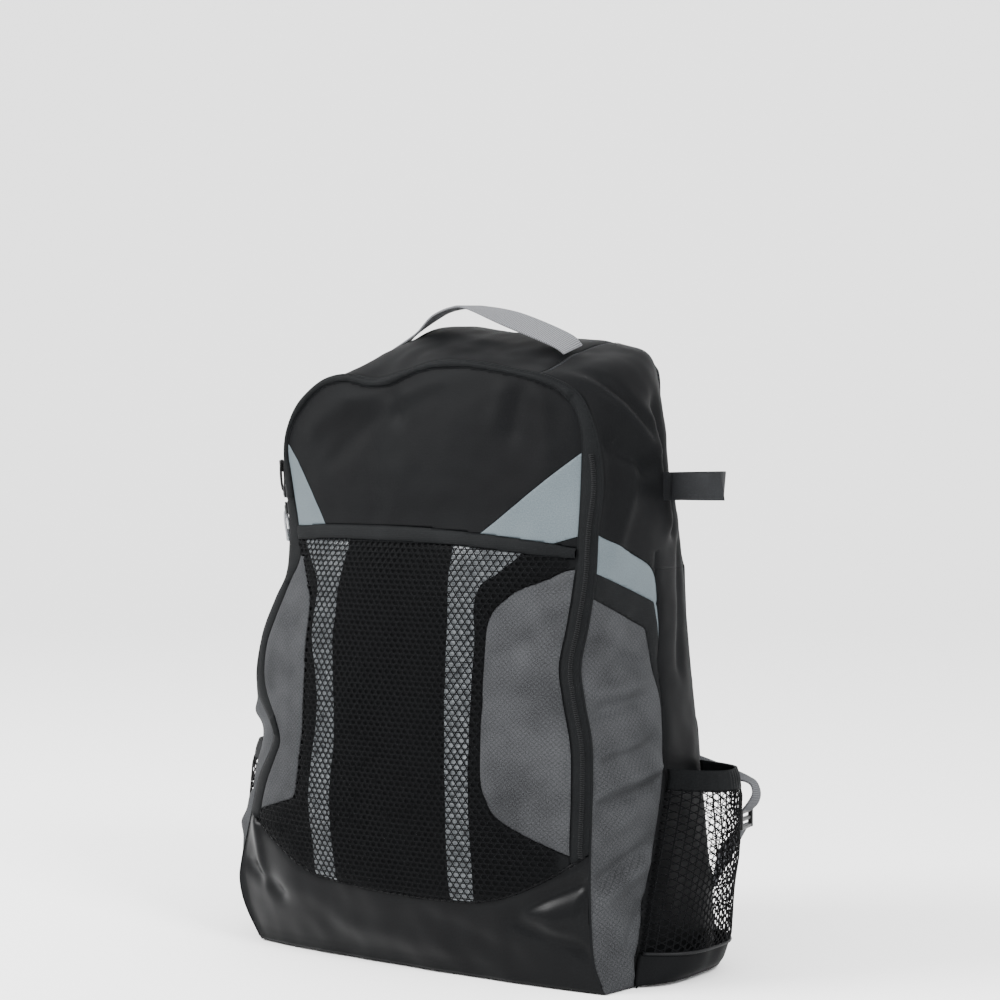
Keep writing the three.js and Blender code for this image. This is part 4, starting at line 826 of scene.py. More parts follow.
stations = np.interp(flat[:, 0] * reach[-1], reach, np.linspace(0, 37, 400))
shares = flat[:, 1]
setCoords(hoop, np.stack([flat[:, 0] * reach[-1], flat[:, 1] * 150, flat[:, 0] * 0], axis=1))
mapCloth(hoop)
setCoords(hoop, gusset(stations, shares))
endRight, endLeft = pack["handleEnd"] * halfWidth, -0.600 * halfWidth


def bandField(side, name, spots):
    # above zero under the band's slanted upper edge, which is rounded at the seam
    frontShare, rear = bands[name]
    rearY = float(seamY(side, rear * height))
    fall = (rear - frontShare) * height / (rearY + halfDepth)
    level = rear * height + fall * (spots[:, 1] - rearY) - spots[:, 2]
    toSeam = seamY(side, spots[:, 2]) - spots[:, 1]
    if name == "light":
        return level - 7 * np.exp(-np.clip(toSeam, 0, 60) / 4)
    if name == "grey" and side == "right":
        # the dark band turns down along the seam
        turned = np.interp(spots[:, 2], (200, 223, 247, 264, 290), (0, 4, 11, 16, 24))
        return np.minimum(level, toSeam - turned)
    return level


def stripField(side, spots):
    # the light band's thin tail down the seam
    wide = np.interp(spots[:, 2], (258, 264, 285, 300), (-1, 0.8, 4.5, 6))
    return wide - (seamY(side, spots[:, 2]) - spots[:, 1])


top = bands["light"][1] * height
for side in ("right", "left"):
    sign = 1 if side == "right" else -1

    def sideOnly(field):
        spots = coords(hoop)
        cutAlong(hoop, np.where((sign * spots[:, 0] > 40) & (spots[:, 2] < 400), field(spots), 1))

    for name in ("light", "dark", "grey"):
        sideOnly(lambda spots, key=name: bandField(side, key, spots))
    sideOnly(lambda spots: np.where(spots[:, 2] < 330, seamY(side, spots[:, 2]) - spots[:, 1], 1))
    sideOnly(lambda spots: np.where(np.abs(spots[:, 2] - 290) < 40, stripField(side, spots), 1))
    sideOnly(lambda spots: np.where(spots[:, 2] < 330, top - spots[:, 2], 1))
for edge in (endRight, endLeft):
    spots = coords(hoop)
    cutAlong(hoop, np.where(spots[:, 2] > 380, spots[:, 0] - edge, 1))

middle = centres(hoop)
parts = {}
for side in ("right", "left"):
    sign = 1 if side == "right" else -1
    onSide = sign * middle[:, 0] > 40
    low = onSide & (middle[:, 2] < 420)
    inFront = middle[:, 1] < seamY(side, middle[:, 2])
    below = {name: bandField(side, name, middle) > 0 for name in bands}
    behind = low & ~inFront & (middle[:, 2] < top)
    forward = low & ~behind & below["light"]
    strip = forward & (stripField(side, middle) > 0) & (middle[:, 2] > 258)
    grey = forward & below["grey"] & ~strip
    dark = forward & below["dark"] & ~below["grey"] & ~strip
    light = forward & (~below["dark"] | strip)
    past = middle[:, 0] > endRight if side == "right" else middle[:, 0] < endLeft
    upper = past & ~forward & ~behind
    parts[f"grey_side_{side}"] = (grey, "ripstopHeather", [f"grey_gusset_{side}"], "grey_ripstop")
    parts[f"dark_side_{side}"] = (dark, "foldedBinding", [f"dark_band_{side}"], "binding_cloth")
    parts[f"light_side_{side}"] = (light, "lightPolyester", [f"light_band_{side}"], "light_cloth")
    parts[f"rear_side_{side}"] = (behind, "polyesterCloth", [f"side_wall_{side}"], "black_cloth")
    parts[f"shoulder_{side}"] = (upper, "polyesterCloth", [f"shoulder_gusset_{side}"], "black_cloth")
taken = np.any([wanted for wanted, *_ in parts.values()], axis=0)
parts["crown"] = (~taken, "polyesterCloth", ["top_panel"], "black_cloth")

spots = coords(hoop)
bmesh.ops.recalc_face_normals(hoop, faces=hoop.faces)
outward = np.array([v.normal[:] for v in hoop.verts])
core = np.stack([spots[:, 0], spots[:, 1] * 0, spots[:, 2] - 256], axis=1)
if np.sum(outward * core) < 0:
    bmesh.ops.reverse_faces(hoop, faces=hoop.faces)
    outward = -outward
lift = np.zeros(len(spots))
for side in ("right", "left"):
    sign = 1 if side == "right" else -1
    onSide = (sign * spots[:, 0] > 60) & (spots[:, 2] < 470)
    lift += np.where(onSide, 1.5 * ridges(spots[:, 1], spots[:, 2], sideFolds[side]), 0)
    low = onSide & (spots[:, 2] < 330)
    for name in bands:
        lift -= np.where(low & (spots[:, 1] < seamY(side, spots[:, 2]) + 2),
                         1.0 * np.exp(-np.abs(bandField(side, name, spots)) / 2.5), 0)
    lift -= np.where(low, 1.6 * np.exp(-np.abs(seamY(side, spots[:, 2]) - spots[:, 1]) / 3.5), 0)
rearGap = backY(spots[:, 2]) - pack["backPad"] - pack["seamGap"] - spots[:, 1]
frontGap = spots[:, 1] - frontY(spots[:, 0], spots[:, 2])
for edge in (endRight, endLeft):
    lift -= np.where(spots[:, 2] > 400, 1.4 * np.exp(-np.abs(spots[:, 0] - edge) / 3), 0)
lift += softNoise(spots, 42, 1.7) * 2.4 + softNoise(spots, 16, 6.3) * 0.7
lift *= np.clip(rearGap / 14, 0, 1) * np.clip((frontGap - 1) / 12, 0, 1)
lift *= np.clip(spots[:, 2] / 10, 0.2, 1)
setCoords(hoop, spots + outward * lift[:, None])
for name, (wanted, material, nodes, slot) in parts.items():
    part = keepFaces(hoop, wanted)
    area, size = meshArea(part), np.ptp(coords(part), axis=0)
    piece = addPiece(name, part, material, nodes, wall=1.5)
    lengths = sorted((size[0], size[1], size[2]))
    declareCloth(piece, area, (lengths[1], lengths[2]))
hoopSpots, hoopLift = spots, lift
hoop.free()


def onHoop(points):
    # moved with the cloth, and where the cloth faces there
    near = [np.argmin(np.sum((hoopSpots - p) ** 2, axis=1)) for p in points]
    return points + outward[near] * (hoopLift[near] + 0.2)[:, None], outward[near]


seamRows = []
for edge, aside in ((endRight, 3.5), (endLeft, -3.5)):
    run = np.linspace(12, 25, 1200)
    across = np.linspace(0.06, 0.92, 60)
    line = []
    for v in across:
        row = gusset(run, np.full(len(run), v))
        line.append(row[np.argmin(np.abs(row[:, 0] - edge - aside))])
    seamRows.append(onHoop(np.array(line)))
stitches("crown_stitches", seamRows)
print("sides and top made")


# side pockets
def pocketFace(side, a, z):
    sign = 1 if side == "right" else -1
    a, z = np.asarray(a, float), np.asarray(z, float)
    station = stationAt(side, z)
    start = gusset(station, seamShare(side, station) + 0.002)
    end = gusset(station, pocket["end"] + 0 * station)
    stand = 0.8 + (pocket["stand"] - 0.8) * np.clip(a / 0.08, 0, 1)
    x = start[..., 0] * (1 - a) + end[..., 0] * a + sign * stand
    y = start[..., 1] * (1 - a) + end[..., 1] * a
    crown = 1 - np.abs(2 * a - 1) ** pocket["fullness"]
    widest = sign * np.interp(z / height, *pocketReach[side].T) * halfWidth
    centre = (start[..., 0] + end[..., 0]) / 2 + sign * pocket["stand"]
    return np.stack([x + (widest - centre) * crown, y, z], axis=-1)


for side in ("right", "left"):
    sign = 1 if side == "right" else -1
    outwards = lambda c, s=sign: (s, 0, 0.0)
    belly = pocketFace(side, np.linspace(0, 1, 60), np.full(60, 90.0))
    girth = np.sum(np.linalg.norm(np.diff(belly, axis=0), axis=1))
    netHigh = pocket["top"] - pocket["hem"]
    sideNet = hexSheet(netHigh - pocket["cup"], girth, 5.8, 4.6, 1.4)
    turned = coords(sideNet)
    setCoords(sideNet, np.stack([turned[:, 1], turned[:, 0], turned[:, 2]], axis=1))
    for value in (lambda s: s[:, 0] - 0.2, lambda s: girth - 0.2 - s[:, 0], lambda s: s[:, 1] - 0.2,
                  lambda s: netHigh - pocket["cup"] - 0.2 - s[:, 1]):
        cutAlong(sideNet, value(coords(sideNet)))
        trimmed = keepFaces(sideNet, value(centres(sideNet)) > 0)
        sideNet.free()
        sideNet = trimmed
    spots = coords(sideNet)
    face = pocketFace(side, np.clip(spots[:, 0] / girth, 0, 1), pocket["cup"] + spots[:, 1])
    sag = softNoise(face, 34, 2.2) * 2.2 * np.clip(np.sin(np.pi * np.clip(spots[:, 0] / girth, 0, 1)), 0, 1)
    face[:, 0] += sign * sag
    setCoords(sideNet, face)
    faceOut(sideNet, outwards)
    netArea = meshArea(sideNet)
    piece = addPiece(f"pocket_netting_{side}", sideNet, "nylonNet", [f"pocket_net_{side}"], wall=0.6)
    declareCloth(piece, netArea * netLook["yarnRound"], (girth, 120))

    hem = gridMesh(90, 8)
    flat = coords(hem)
    setCoords(hem, np.stack([flat[:, 0] * girth, flat[:, 1] * 18, flat[:, 0] * 0], axis=1))
    mapCloth(hem)
    level = netHigh - 1 + flat[:, 1] * (pocket["hem"] + 1)
    face = pocketFace(side, flat[:, 0], np.minimum(level, pocket["top"]))
    gather = np.sin(flat[:, 0] * girth * 2 * np.pi / 9.5) * 0.35 * np.sin(np.pi * flat[:, 1])
    roll = 0.8 - 1.6 * np.abs(flat[:, 1] - 0.5) ** 2
    face[:, 0] += sign * (gather + roll)
    setCoords(hem, face)
    faceOut(hem, outwards)
    area = meshArea(hem)
    piece = addPiece(f"pocket_band_{side}", hem, "foldedBinding", [f"pocket_hem_{side}"],
                     wall=2.4)
    declareCloth(piece, area, (girth, 16))

    cupTurn = 0.42  # where the cup's cloth turns up from under the bag
    cup = gridMesh(90, 26)
    flat = coords(cup)
    setCoords(cup, np.stack([flat[:, 0] * girth, flat[:, 1] * 50, flat[:, 0] * 0], axis=1))
    mapCloth(cup)
    climb = np.clip((flat[:, 1] - cupTurn) / (1 - cupTurn), 0, 1)
    level = pack["floorLift"] + climb * (pocket["cup"] - pack["floorLift"])
    rim = pocketFace(side, flat[:, 0], level)
    station = stationAt(side, np.full(len(flat), pack["floorLift"]))
    seam = seamShare(side, station) + 0.002
    foot = gusset(station, seam + (pocket["end"] - seam) * flat[:, 0])
    inwards = np.clip(flat[:, 1] / cupTurn, 0, 1)
    beneath = (foot[:, 0] + sign * pocket["stand"]) * (1 - inwards) + rim[:, 0] * inwards
    rim[:, 0] = np.where(flat[:, 1] < cupTurn, beneath, rim[:, 0])
    roundOff = np.exp(-((flat[:, 1] - cupTurn) / 0.13) ** 2)
    rim[:, 0] -= sign * roundOff * 3.5 * np.sin(np.pi * flat[:, 0])
    rim[:, 2] += roundOff * 1.5
    rim[:, 0] += sign * softNoise(rim, 18, 4.4) * 1.6 * np.clip(climb, 0, 1) * np.sin(np.pi * flat[:, 0])
    setCoords(cup, rim)
    faceOut(cup, lambda c, s=sign: (s, 0, -0.6))
    area = meshArea(cup)
    piece = addPiece(f"pocket_foot_{side}", cup, "polyesterCloth", [f"pocket_cup_{side}"],
                     wall=1.5)
    declareCloth(piece, area, (girth, 60))
    rimLine = pocketFace(side, np.linspace(0.01, 0.99, 60), np.full(60, pocket["cup"] + 0.5))
    rimLine[:, 0] += sign * 0.6
    cordAlong(f"pocket_piping_{side}", rimLine, 1.3, "zipNylon")
print("side pockets made")


# piping and zip
def onFront(line, lift):
    y = frontY(line[:, 0], line[:, 1]) - frontRelief(line[:, 0], line[:, 1]) - lift
    return np.stack([line[:, 0], y, line[:, 1]], axis=1)


def aboveBootOnly(line):
    keep = insideOf(under(lines["boot"]), line) < -1
    return line[keep]


innerPiping = aboveBootOnly(evenly(zipLine, 3))
cordAlong("zip_piping", onFront(innerPiping, -0.1), 0.8, "foldedBinding")
outerPiping = evenly(movedIn(zipEdge, 0.2), 3)
outerPiping = outerPiping[outerPiping[:, 1] > pack["floorLift"] + 2]
cordAlong("edge_piping", onFront(outerPiping, -0.6), 1.0, "foldedBinding")
bootPiping = evenly(lines["boot"], 3)
bootPiping = bootPiping[insideOf(outerField, bootPiping) > 1]
cordAlong("boot_piping", onFront(bootPiping, 0.2), 0.8, "coatedNylon")

coil = {"pitch": 1.6, "fill": 0.62, "width": 7.0, "height": 0.5}
coilSpots = aboveBootOnly(evenly(coilLine, coil["pitch"]))
coilPlace = onFront(coilSpots, 1.25)
bm = bmesh.new()
for a, b in zip(coilPlace[:-1], coilPlace[1:]):
    along = Vector(b - a).normalized()
    up = Vector((0, -1, 0))
    side = along.cross(up).normalized()
    up = side.cross(along)
    turn = Matrix((side * coil["width"], along * coil["pitch"] * coil["fill"],
                   up * coil["height"])).transposed().to_4x4()
    bmesh.ops.create_cone(bm, cap_ends=True, segments=6, radius1=0.5, radius2=0.5, depth=1.0,
                          matrix=Matrix.Translation(a) @ turn @ Matrix.Rotation(math.radians(90), 4, "Y"))
addPiece("zip_ribs", bm, "zipNylon", ["zip_coil"])
print("zip made")


# flat straps
def ribbon(name, path, across, width, thick, material, nodes, cells=(8, 80)):
    # a webbing strap through path (mm), with rounded edges and its own map
    path, across = np.asarray(path, float), np.asarray(across, float)
    lengths = np.concatenate([[0], np.cumsum(np.linalg.norm(np.diff(path, axis=0), axis=1))])
    bm = gridMesh(cells[1], cells[0])
    flat = coords(bm)
    at = flat[:, 0] * lengths[-1]
    centre = np.stack([np.interp(at, lengths, path[:, k]) for k in range(3)], axis=1)
    aside = np.stack([np.interp(at, lengths, across[:, k]) for k in range(3)], axis=1)
    aside /= np.linalg.norm(aside, axis=1)[:, None]
    setCoords(bm, np.stack([at, flat[:, 1] * width, at * 0], axis=1))
    mapCloth(bm)
    setCoords(bm, centre + aside * ((flat[:, 1:2] - 0.5) * width))
    bmesh.ops.recalc_face_normals(bm, faces=bm.faces)
    area = meshArea(bm)
    piece = addPiece(name, bm, material, nodes)
    solid = piece.modifiers.new("wall", "SOLIDIFY")
    solid.thickness, solid.offset = thick * mm, 0
    edge = piece.modifiers.new("edge", "BEVEL")
    edge.width, edge.segments = thick * 0.3 * mm, 2
    edge.limit_method, edge.angle_limit = "ANGLE", math.radians(60)
    declareCloth(piece, area, (width, lengths[-1]))
    return piece


crownGrid = gusset(*np.meshgrid(np.linspace(12, 25, 520), np.linspace(0, 1, 80), indexing="ij")).reshape(-1, 3)


def crownZ(x, y):
    near = np.argmin((crownGrid[:, 0] - x) ** 2 + (crownGrid[:, 1] - y) ** 2)
    return crownGrid[near, 2]


handleLine = [(-0.600, -0.06, 0), (-0.500, -0.08, 0.03), (-0.400, -0.11, 0.07), (-0.326, -0.14, 0.26),
              (-0.227, -0.17, 0.76), (-0.105, -0.20, 1), (-0.006, -0.22, 0.97), (0.227, -0.26, 0.55),
              (0.500, -0.29, 0.16), (0.575, -0.30, 0)]
# rear: how much higher the rear edge rides along the strap
handle = {"width": 27.0, "thick": 1.8, "rise": 18.0, "rear": (0, 5, 6, 5, 3, 1.5, 2, 8, 4, 0)}
peak = max(crownZ(x * halfWidth, y * halfDepth) for x, y, _ in handleLine)
path, aside = [], []
for (x, y, rise), rear in zip(handleLine, handle["rear"]):
    edges = []
    for s in (-0.5, 0.5):
        edgeY = y * halfDepth + s * handle["width"] * 0.95
        seat = crownZ(x * halfWidth, edgeY) + 1.2
        level = seat * (1 - rise) + (peak + handle["rise"]) * rise
        edges.append(np.array([x * halfWidth, edgeY, level + s * rear]))
    path.append((edges[0] + edges[1]) / 2 + (0, 0, handle["thick"] / 2))
    aside.append((edges[1] - edges[0]) / np.linalg.norm(edges[1] - edges[0]))
at = np.linspace(0, len(path) - 1, 160)
ribbon("carry_handle", curveThrough(path, at), curveThrough(aside, at), handle["width"], handle["thick"],
       "greyWebbing", ["grab_handle"], (8, 150))
print("handle made")


# bat loops: a strap sewn to the side at both ends, its tip left free
def arc(middle, radius, start, end, count):
    angles = np.radians(np.linspace(start, end, count))
    return [(middle[0] + radius * math.cos(a), middle[1] + radius * math.sin(a)) for a in angles]


loops = {"right": {"middle": (177.8, 25.5), "radius": 23.2, "root": 150, "level": 380.0},
         "left": {"middle": (-189.5, 4.5), "radius": 24.2, "root": -164, "level": 380.0}}
loopStrap = {"width": 22.0, "thick": 2.2, "tipReach": 5.0}
for side, look in loops.items():
    sign = 1 if side == "right" else -1
    middle, radius = look["middle"], look["radius"]
    turnOut = (-90, 90) if side == "right" else (270, 90)
    plan = ([(look["root"], middle[1] - radius)] + arc(middle, radius, *turnOut, 40)
            + [(look["root"] - 2 * sign, middle[1] + radius)])
    plan = evenly(plan, 2.5)
    sway = np.sin(np.linspace(0, np.pi, len(plan)))
    path = np.column_stack([plan, look["level"] + 1.2 * sway - 0.6])
    lean = np.column_stack([0.10 * sway * sign, 0 * sway, 1 + 0 * sway])
    ribbon(f"side_loop_{side}", path, lean, loopStrap["width"], loopStrap["thick"], "loopWebbing",
           [f"bat_loop_{side}"], (6, len(plan)))
    start, end = (-100, -14) if side == "right" else (280, 194)
    plan = arc(middle, radius + loopStrap["thick"] + 0.2, start, end, 20)
    last, before = np.array(plan[-1]), np.array(plan[-2])
    along = (last - before) / np.linalg.norm(last - before)
    spread = np.array([sign * 0.12, 0])
    plan += [tuple(last + (along + spread) * step) for step in (3, 6, loopStrap["tipReach"])]
    plan = evenly(plan, 2.0)
    rise = np.linspace(0, 1, len(plan))
    path = np.column_stack([plan, look["level"] - 0.8 * rise])
    lean = np.column_stack([(0.05 - 0.22 * rise) * sign, 0 * rise, 1 + 0 * rise])
    ribbon(f"loop_tip_{side}", path, lean, loopStrap["width"] - 1, loopStrap["thick"] - 0.6, "loopWebbing",
           (), (6, len(plan)))

# lower webbing: it loops out past the pocket and back into its lock
webbing = {"width": 20.0, "thick": 1.6,
           "line": [(79, 104, 190), (80, 106, 178), (88, 106.5, 166), (104, 105.5, 156), (128, 103, 149.5),
                    (152, 99.5, 146), (172, 95.5, 144.5), (186, 91.5, 144), (196, 88, 141.5),
                    (199.5, 86.5, 134), (196, 87, 126), (189, 88, 119)],
           "turn": [(1, 0, 0), (1, 0, 0.1), (0.75, 0.05, 0.65), (0.4, 0.15, 0.9), (0.15, 0.35, 0.9),
                    (0.1, 0.75, 0.6), (0.1, 0.95, 0.25), (-0.1, 0.98, 0), (-0.25, 0.95, -0.05),
                    (-0.2, 0.96, -0.1), (-0.1, 0.98, -0.12), (-0.15, 0.98, -0.1)]}
lock = {"size": (25, 4.2, 16), "place": (188.5, 88.5, 112.5), "turn": 100.0, "slot": (20.5, 3.2)}
tab = {"foot": [(163, 79, 52), (168, 79, 86)], "wall": 2.0}
for side in ("right", "left"):
    sign = 1 if side == "right" else -1
    mirror = np.array([sign, 1, 1])
    at = np.linspace(0, len(webbing["line"]) - 1, 90)
    path = curveThrough(webbing["line"], at) * mirror
    ribbon(f"lower_strap_{side}", path, curveThrough(webbing["turn"], at) * mirror, webbing["width"],
           webbing["thick"], "charcoalWebbing", [f"strap_webbing_{side}"], (6, 90))
    turnZ = Matrix.Rotation(math.radians(lock["turn"] * sign), 4, "Z")
    place = Matrix.Translation(Vector(np.array(lock["place"]) * mirror)) @ turnZ
    bm = bmesh.new()
    width, thick, high = lock["size"]
    slotWide, slotHigh = lock["slot"]
    bar = (high - 2 * slotHigh) / 3
    for level in (-1, 0, 1):
        rod = Matrix.Translation((0, 0.8 * (level == 0), level * (bar + slotHigh)))
        bmesh.ops.create_cube(bm, size=1.0, matrix=place @ rod
                              @ Matrix.Diagonal((slotWide + 0.4, thick * 0.8, bar, 1)))
    for end in (-1, 1):
        cheek = Matrix.Translation((end * (slotWide + (width - slotWide) / 2) / 2, 0, 0))
        bmesh.ops.create_cube(bm, size=1.0, matrix=place @ cheek
                              @ Matrix.Diagonal(((width - slotWide) / 2, thick, high, 1)))
    piece = addPiece(f"lock_frame_{side}", bm, "acetal", [f"ladder_lock_{side}"],
                     smooth=False)
    edge = piece.modifiers.new("edge", "BEVEL")
    edge.width, edge.segments = 0.9 * mm, 3
    footLow, footHigh = (np.array(p) * mirror for p in tab["foot"])
    tip = np.array(lock["place"]) * mirror - (0, 0, high / 2 - 3)
    angle = math.radians(lock["turn"])
    reach = np.array([math.cos(angle) * sign, math.sin(angle), 0]) * 10
    bm = gridMesh(10, 14)
    flat = coords(bm)
    foot = footLow * (1 - flat[:, :1]) + footHigh * flat[:, :1]
    far = tip + reach * (1 - 2 * flat[:, :1])
    setCoords(bm, flat * (24, 45, 1))
    mapCloth(bm)
    spots = foot * (1 - flat[:, 1:2]) + far * flat[:, 1:2]
    spots[:, 1] += 2.5 * np.sin(np.pi * flat[:, 1]) * np.sin(np.pi * flat[:, 0])
    setCoords(bm, spots)
    faceOut(bm, lambda c, s=sign: (s, 0, 0))
    area = meshArea(bm)
    piece = addPiece(f"corner_tab_{side}", bm, "charcoalWebbing", [f"anchor_tab_{side}"],
                     wall=tab["wall"])
    declareCloth(piece, area, (30, 50))
print("loops, webbing and locks made")

# zip sliders, nose to nose on the left, one pull turned up and one hanging
slider = {"size": (8.5, 4.2, 11.0), "gap": 13.0, "level": 364.0, "across": 0.035}
pull = {"length": 25.0, "width": 6.5, "cord": 1.1, "grip": (5.5, 3.0, 10.0)}


def sliderPlace(level):
    station = stationAt("left", np.array(level))
    here, ahead = gusset(station, slider["across"]), gusset(station, slider["across"] + 0.05)
    rise = gusset(stationAt("left", np.array(level + 6.0)), slider["across"])
    along = Vector(rise - here).normalized()
    outward = Vector(ahead - here).cross(along).normalized()
    if outward.x > 0:
        outward = -outward
    side = outward.cross(along)
    return Vector(here), side, outward, along


for name, node, step, cordLook, gripLook in (
        ("slider_upper", "zip_slider_upper", 1, "zipNylon", "acetal"),
        ("slider_lower", "zip_slider_lower", -1, "greyCord", "greyCord")):
    here, side, outward, along = sliderPlace(slider["level"] + step * slider["gap"] / 2)
    wide, thick, long = slider["size"]
    turn = Matrix((side, outward, along)).transposed()
    bm = bmesh.new()
    for size, lift in (((wide, thick * 0.34, long), 1.4), ((wide * 0.5, thick * 0.5, long * 0.6), 2.6),
                       ((wide * 0.9, thick * 0.34, long * 0.94), 3.8), ((2.6, 2.2, long * 0.55), 5.2)):
        place = Matrix.Translation(here + outward * lift) @ turn.to_4x4() @ Matrix.Diagonal((*size, 1))
        bmesh.ops.create_cube(bm, size=1.0, matrix=place)
    piece = addPiece(name, bm, "blackEnamel", [node], smooth=False)
    edge = piece.modifiers.new("edge", "BEVEL")
    edge.width, edge.segments = 0.5 * mm, 2
    root = here + outward * 6.0 + along * (step * 2.0)
    ring = []
    for k in range(28):
        angle = 2 * math.pi * k / 28
        far = (1 - math.cos(angle)) / 2 * pull["length"]
        ring.append(root + along * (step * far) + side * (math.sin(angle) * pull["width"] / 2)
                    - outward * (1.2 * far / pull["length"]))
    cordAlong(name + "_cord", [tuple(p) for p in ring], pull["cord"], cordLook, closedLoop=True)
    bm = bmesh.new()
    middle = root + along * (step * pull["length"] * 0.82) - outward * 0.8
    bmesh.ops.create_cube(bm, size=1.0, matrix=Matrix.Translation(middle) @ turn.to_4x4()
                          @ Matrix.Diagonal((*pull["grip"], 1)))
    piece = addPiece(name + "_grip", bm, gripLook, (), smooth=False)
    edge = piece.modifiers.new("edge", "BEVEL")
    edge.width, edge.segments = 1.2 * mm, 3
print("sliders made")


# padded back and shoulder straps, swelled by a short cloth run
swellShare = np.array([0.25, 1, 0.25])  # the sewn rim holds the width, so it swells backwards


def swell(name, node, material, start, cap, pressure, channels=()):
    bm = bmesh.new()
    bm.from_mesh(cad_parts[node].data)
    bmesh.ops.remove_doubles(bm, verts=bm.verts, dist=2e-5)
    mesh = bpy.data.meshes.new(name)
    bm.to_mesh(mesh)
    bm.free()
    piece = bpy.data.objects.new(name, mesh)
    bpy.context.scene.collection.objects.link(piece)
    remesh = piece.modifiers.new("even", "REMESH")
    remesh.mode, remesh.voxel_size = "VOXEL", start * mm
    bpy.context.view_layer.update()
    even = bpy.data.meshes.new_from_object(piece.evaluated_get(bpy.context.evaluated_depsgraph_get()))
    piece.modifiers.clear()
    piece.data = even
    count = len(even.vertices)
    before = np.empty(count * 3)
    even.vertices.foreach_get("co", before)
    before = before.reshape(-1, 3)
    normals = np.empty(count * 3)
    even.vertex_normals.foreach_get("vector", normals)
    normals = normals.reshape(-1, 3)
    shrunk = before - normals * 1.2 * mm
    even.vertices.foreach_set("co", shrunk.ravel())
    cloth = piece.modifiers.new("cloth", "CLOTH")
    cloth.settings.use_pressure = True
    cloth.settings.uniform_pressure_force = pressure
    cloth.settings.effector_weights.gravity = 0
    cloth.settings.quality = 4
    cloth.settings.mass = 0.3
    for frameNumber in range(1, 21):
        bpy.context.scene.frame_set(frameNumber)
    grown = bpy.data.meshes.new_from_object(piece.evaluated_get(bpy.context.evaluated_depsgraph_get()))
    after = np.empty(count * 3)
    grown.vertices.foreach_get("co", after)
    after = after.reshape(-1, 3)
    piece.modifiers.clear()
    bpy.context.scene.frame_set(1)
    bpy.data.meshes.remove(grown)
    step = (after - shrunk) * swellShare
    far = np.linalg.norm(step, axis=1)
    step *= (np.minimum(far, cap * mm) / np.maximum(far, 1e-9))[:, None]
    shrunk = shrunk + step
    spots = shrunk / mm - shift
    if channels:
        carve = ridges(spots[:, 0], spots[:, 2], channels)
        shrunk = shrunk + normals * (carve * mm)[:, None] * (normals[:, 1:2] > 0.3)
    even.vertices.foreach_set("co", shrunk.ravel())
    bm = bmesh.new()
    bm.from_mesh(even)
    bmesh.ops.smooth_vert(bm, verts=bm.verts, factor=0.4, use_axis_x=True, use_axis_y=True, use_axis_z=True)
    bpy.data.objects.remove(piece)
    piece = addPiece(name, bm, material, [node], metres=True)
    finer = piece.modifiers.new("finer", "SUBSURF")
    finer.levels = finer.render_levels = 1
    return piece


backChannels = [(0, 40, 0, 470, 7, -5.0), (-130, 130, 130, 130, 5, -3.5), (-130, 300, 130, 300, 5, -3.5),
                (-118, 50, -118, 440, 6, -3.0), (118, 50, 118, 440, 6, -3.0)]
swell("back_pad", "back_panel", "spacerMesh", 5.0, 6, 3.0, backChannels)
for side in ("right", "left"):
    swell(f"strap_pad_{side}", f"shoulder_strap_{side}", "spacerMesh", 4.5, 5, 3.0)
print("padding made")

# carried-over nodes
def dressNode(name, material):
    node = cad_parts[name]
    node.data.materials.clear()
    node.data.materials.append(materials[material])


dressNode("base_panel", "acetal")

# room, light and camera
stageLook = {"floor": "#fbfbfb", "key": 170.0, "fill": 75.0, "world": 2.3}
floorMaterial, tree = newMaterial("paleFloor")
shader = addNode(tree, "ShaderNodeBsdfPrincipled", None,
                 {"Base Color": fromHex(stageLook["floor"]), "Roughness": 0.9})
finishMaterial(tree, shader)
bm = bmesh.new()
bmesh.ops.create_grid(bm, x_segments=1, y_segments=1, size=6.0)
far = [e for e in bm.edges if all(v.co.y > 5.9 for v in e.verts)]
made = bmesh.ops.extrude_edge_only(bm, edges=far)
bmesh.ops.translate(bm, verts=[g for g in made["geom"] if isinstance(g, bmesh.types.BMVert)], vec=(0, 0, 7))
bmesh.ops.bevel(bm, geom=far, offset=2.5, segments=16, profile=0.5, affect="EDGES", material=-1)
bmesh.ops.rotate(bm, verts=bm.verts, cent=(0, 0, 0), matrix=Matrix.Rotation(math.radians(36), 3, "Z"))
mesh = bpy.data.meshes.new("studio_sweep")
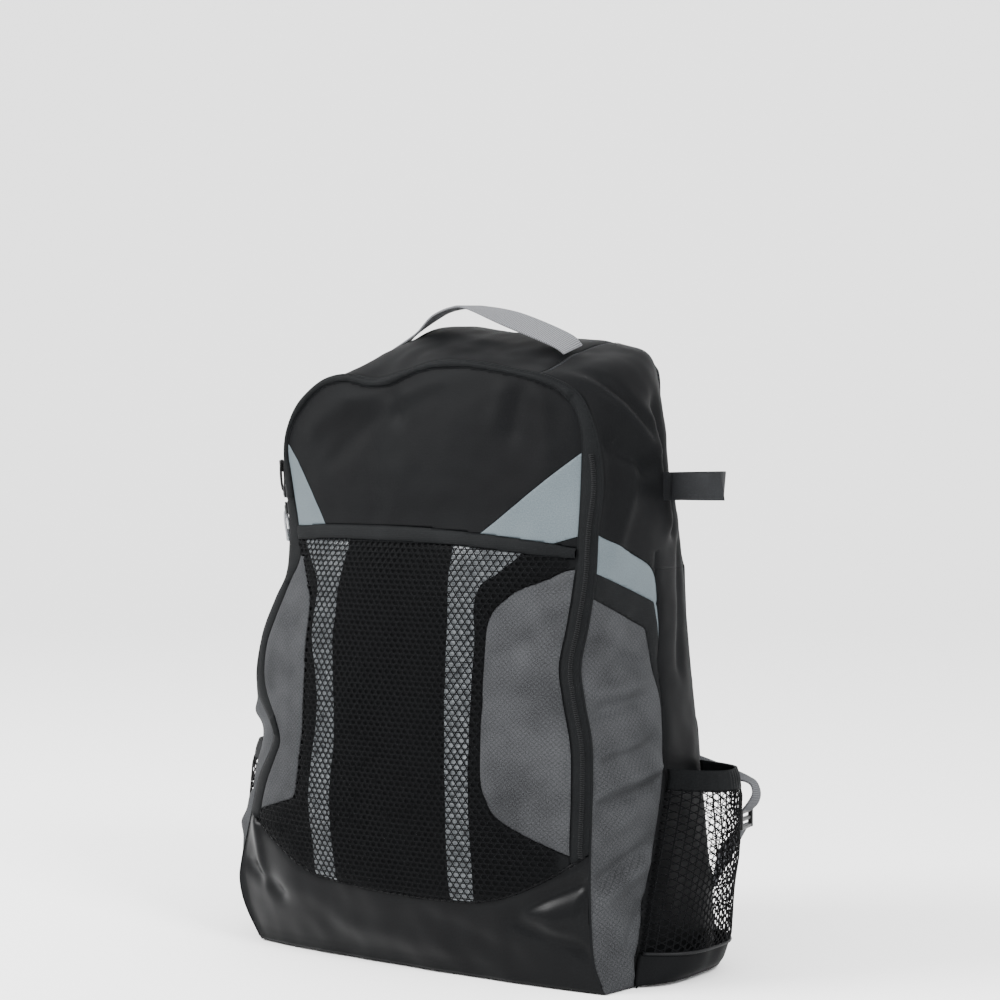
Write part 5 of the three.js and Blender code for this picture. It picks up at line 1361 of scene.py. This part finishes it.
bm.to_mesh(mesh)
bm.free()
mesh.polygons.foreach_set("use_smooth", [True] * len(mesh.polygons))
sweep = bpy.data.objects.new("studio_sweep", mesh)
bpy.context.scene.collection.objects.link(sweep)
mesh.materials.append(floorMaterial)

world = bpy.data.worlds.new("studio")
bpy.context.scene.world = world
world.use_nodes = True
world.node_tree.nodes["Background"].inputs["Color"].default_value = (1, 1, 1, 1)
world.node_tree.nodes["Background"].inputs["Strength"].default_value = stageLook["world"]


def softLamp(name, place, size, power, target=(0, 0, 0.26)):
    lamp = bpy.data.lights.new(name, "AREA")
    lamp.shape, lamp.size, lamp.energy = "SQUARE", size, power
    holder = bpy.data.objects.new(name, lamp)
    holder.location = place
    holder.rotation_euler = (Vector(target) - Vector(place)).to_track_quat("-Z", "Y").to_euler()
    bpy.context.scene.collection.objects.link(holder)


softLamp("key", (-1.6, -1.7, 2.1), 1.1, stageLook["key"])
softLamp("fill", (1.9, -0.7, 1.9), 0.6, stageLook["fill"])

# view: turned from the front, how far off, aside and up it stands, and how far it looks down, mm
viewLook = {"turn": 36.0, "far": 1915.0, "aside": 7.5, "up": 408.0, "fall": 50 / 2346, "lens": 2.346 * 36}
turn, tilt = math.radians(viewLook["turn"]), math.atan(viewLook["fall"])
eye = np.array([viewLook["aside"] * math.cos(turn) + viewLook["far"] * math.sin(turn),
                viewLook["aside"] * math.sin(turn) - viewLook["far"] * math.cos(turn), viewLook["up"]])
ahead = Vector((-math.sin(turn) * math.cos(tilt), math.cos(turn) * math.cos(tilt), -math.sin(tilt)))
right = Vector((math.cos(turn), math.sin(turn), 0))
facing = Matrix((right, right.cross(ahead), -ahead)).transposed().to_4x4()
lens = bpy.data.cameras.new("camera")
lens.sensor_width, lens.lens = 36.0, viewLook["lens"]
camera = bpy.data.objects.new("camera", lens)
camera.matrix_world = Matrix.Translation(Vector((eye + shift) * mm)) @ facing
bpy.context.scene.collection.objects.link(camera)
bpy.context.scene.camera = camera
print("stage, light and camera set")
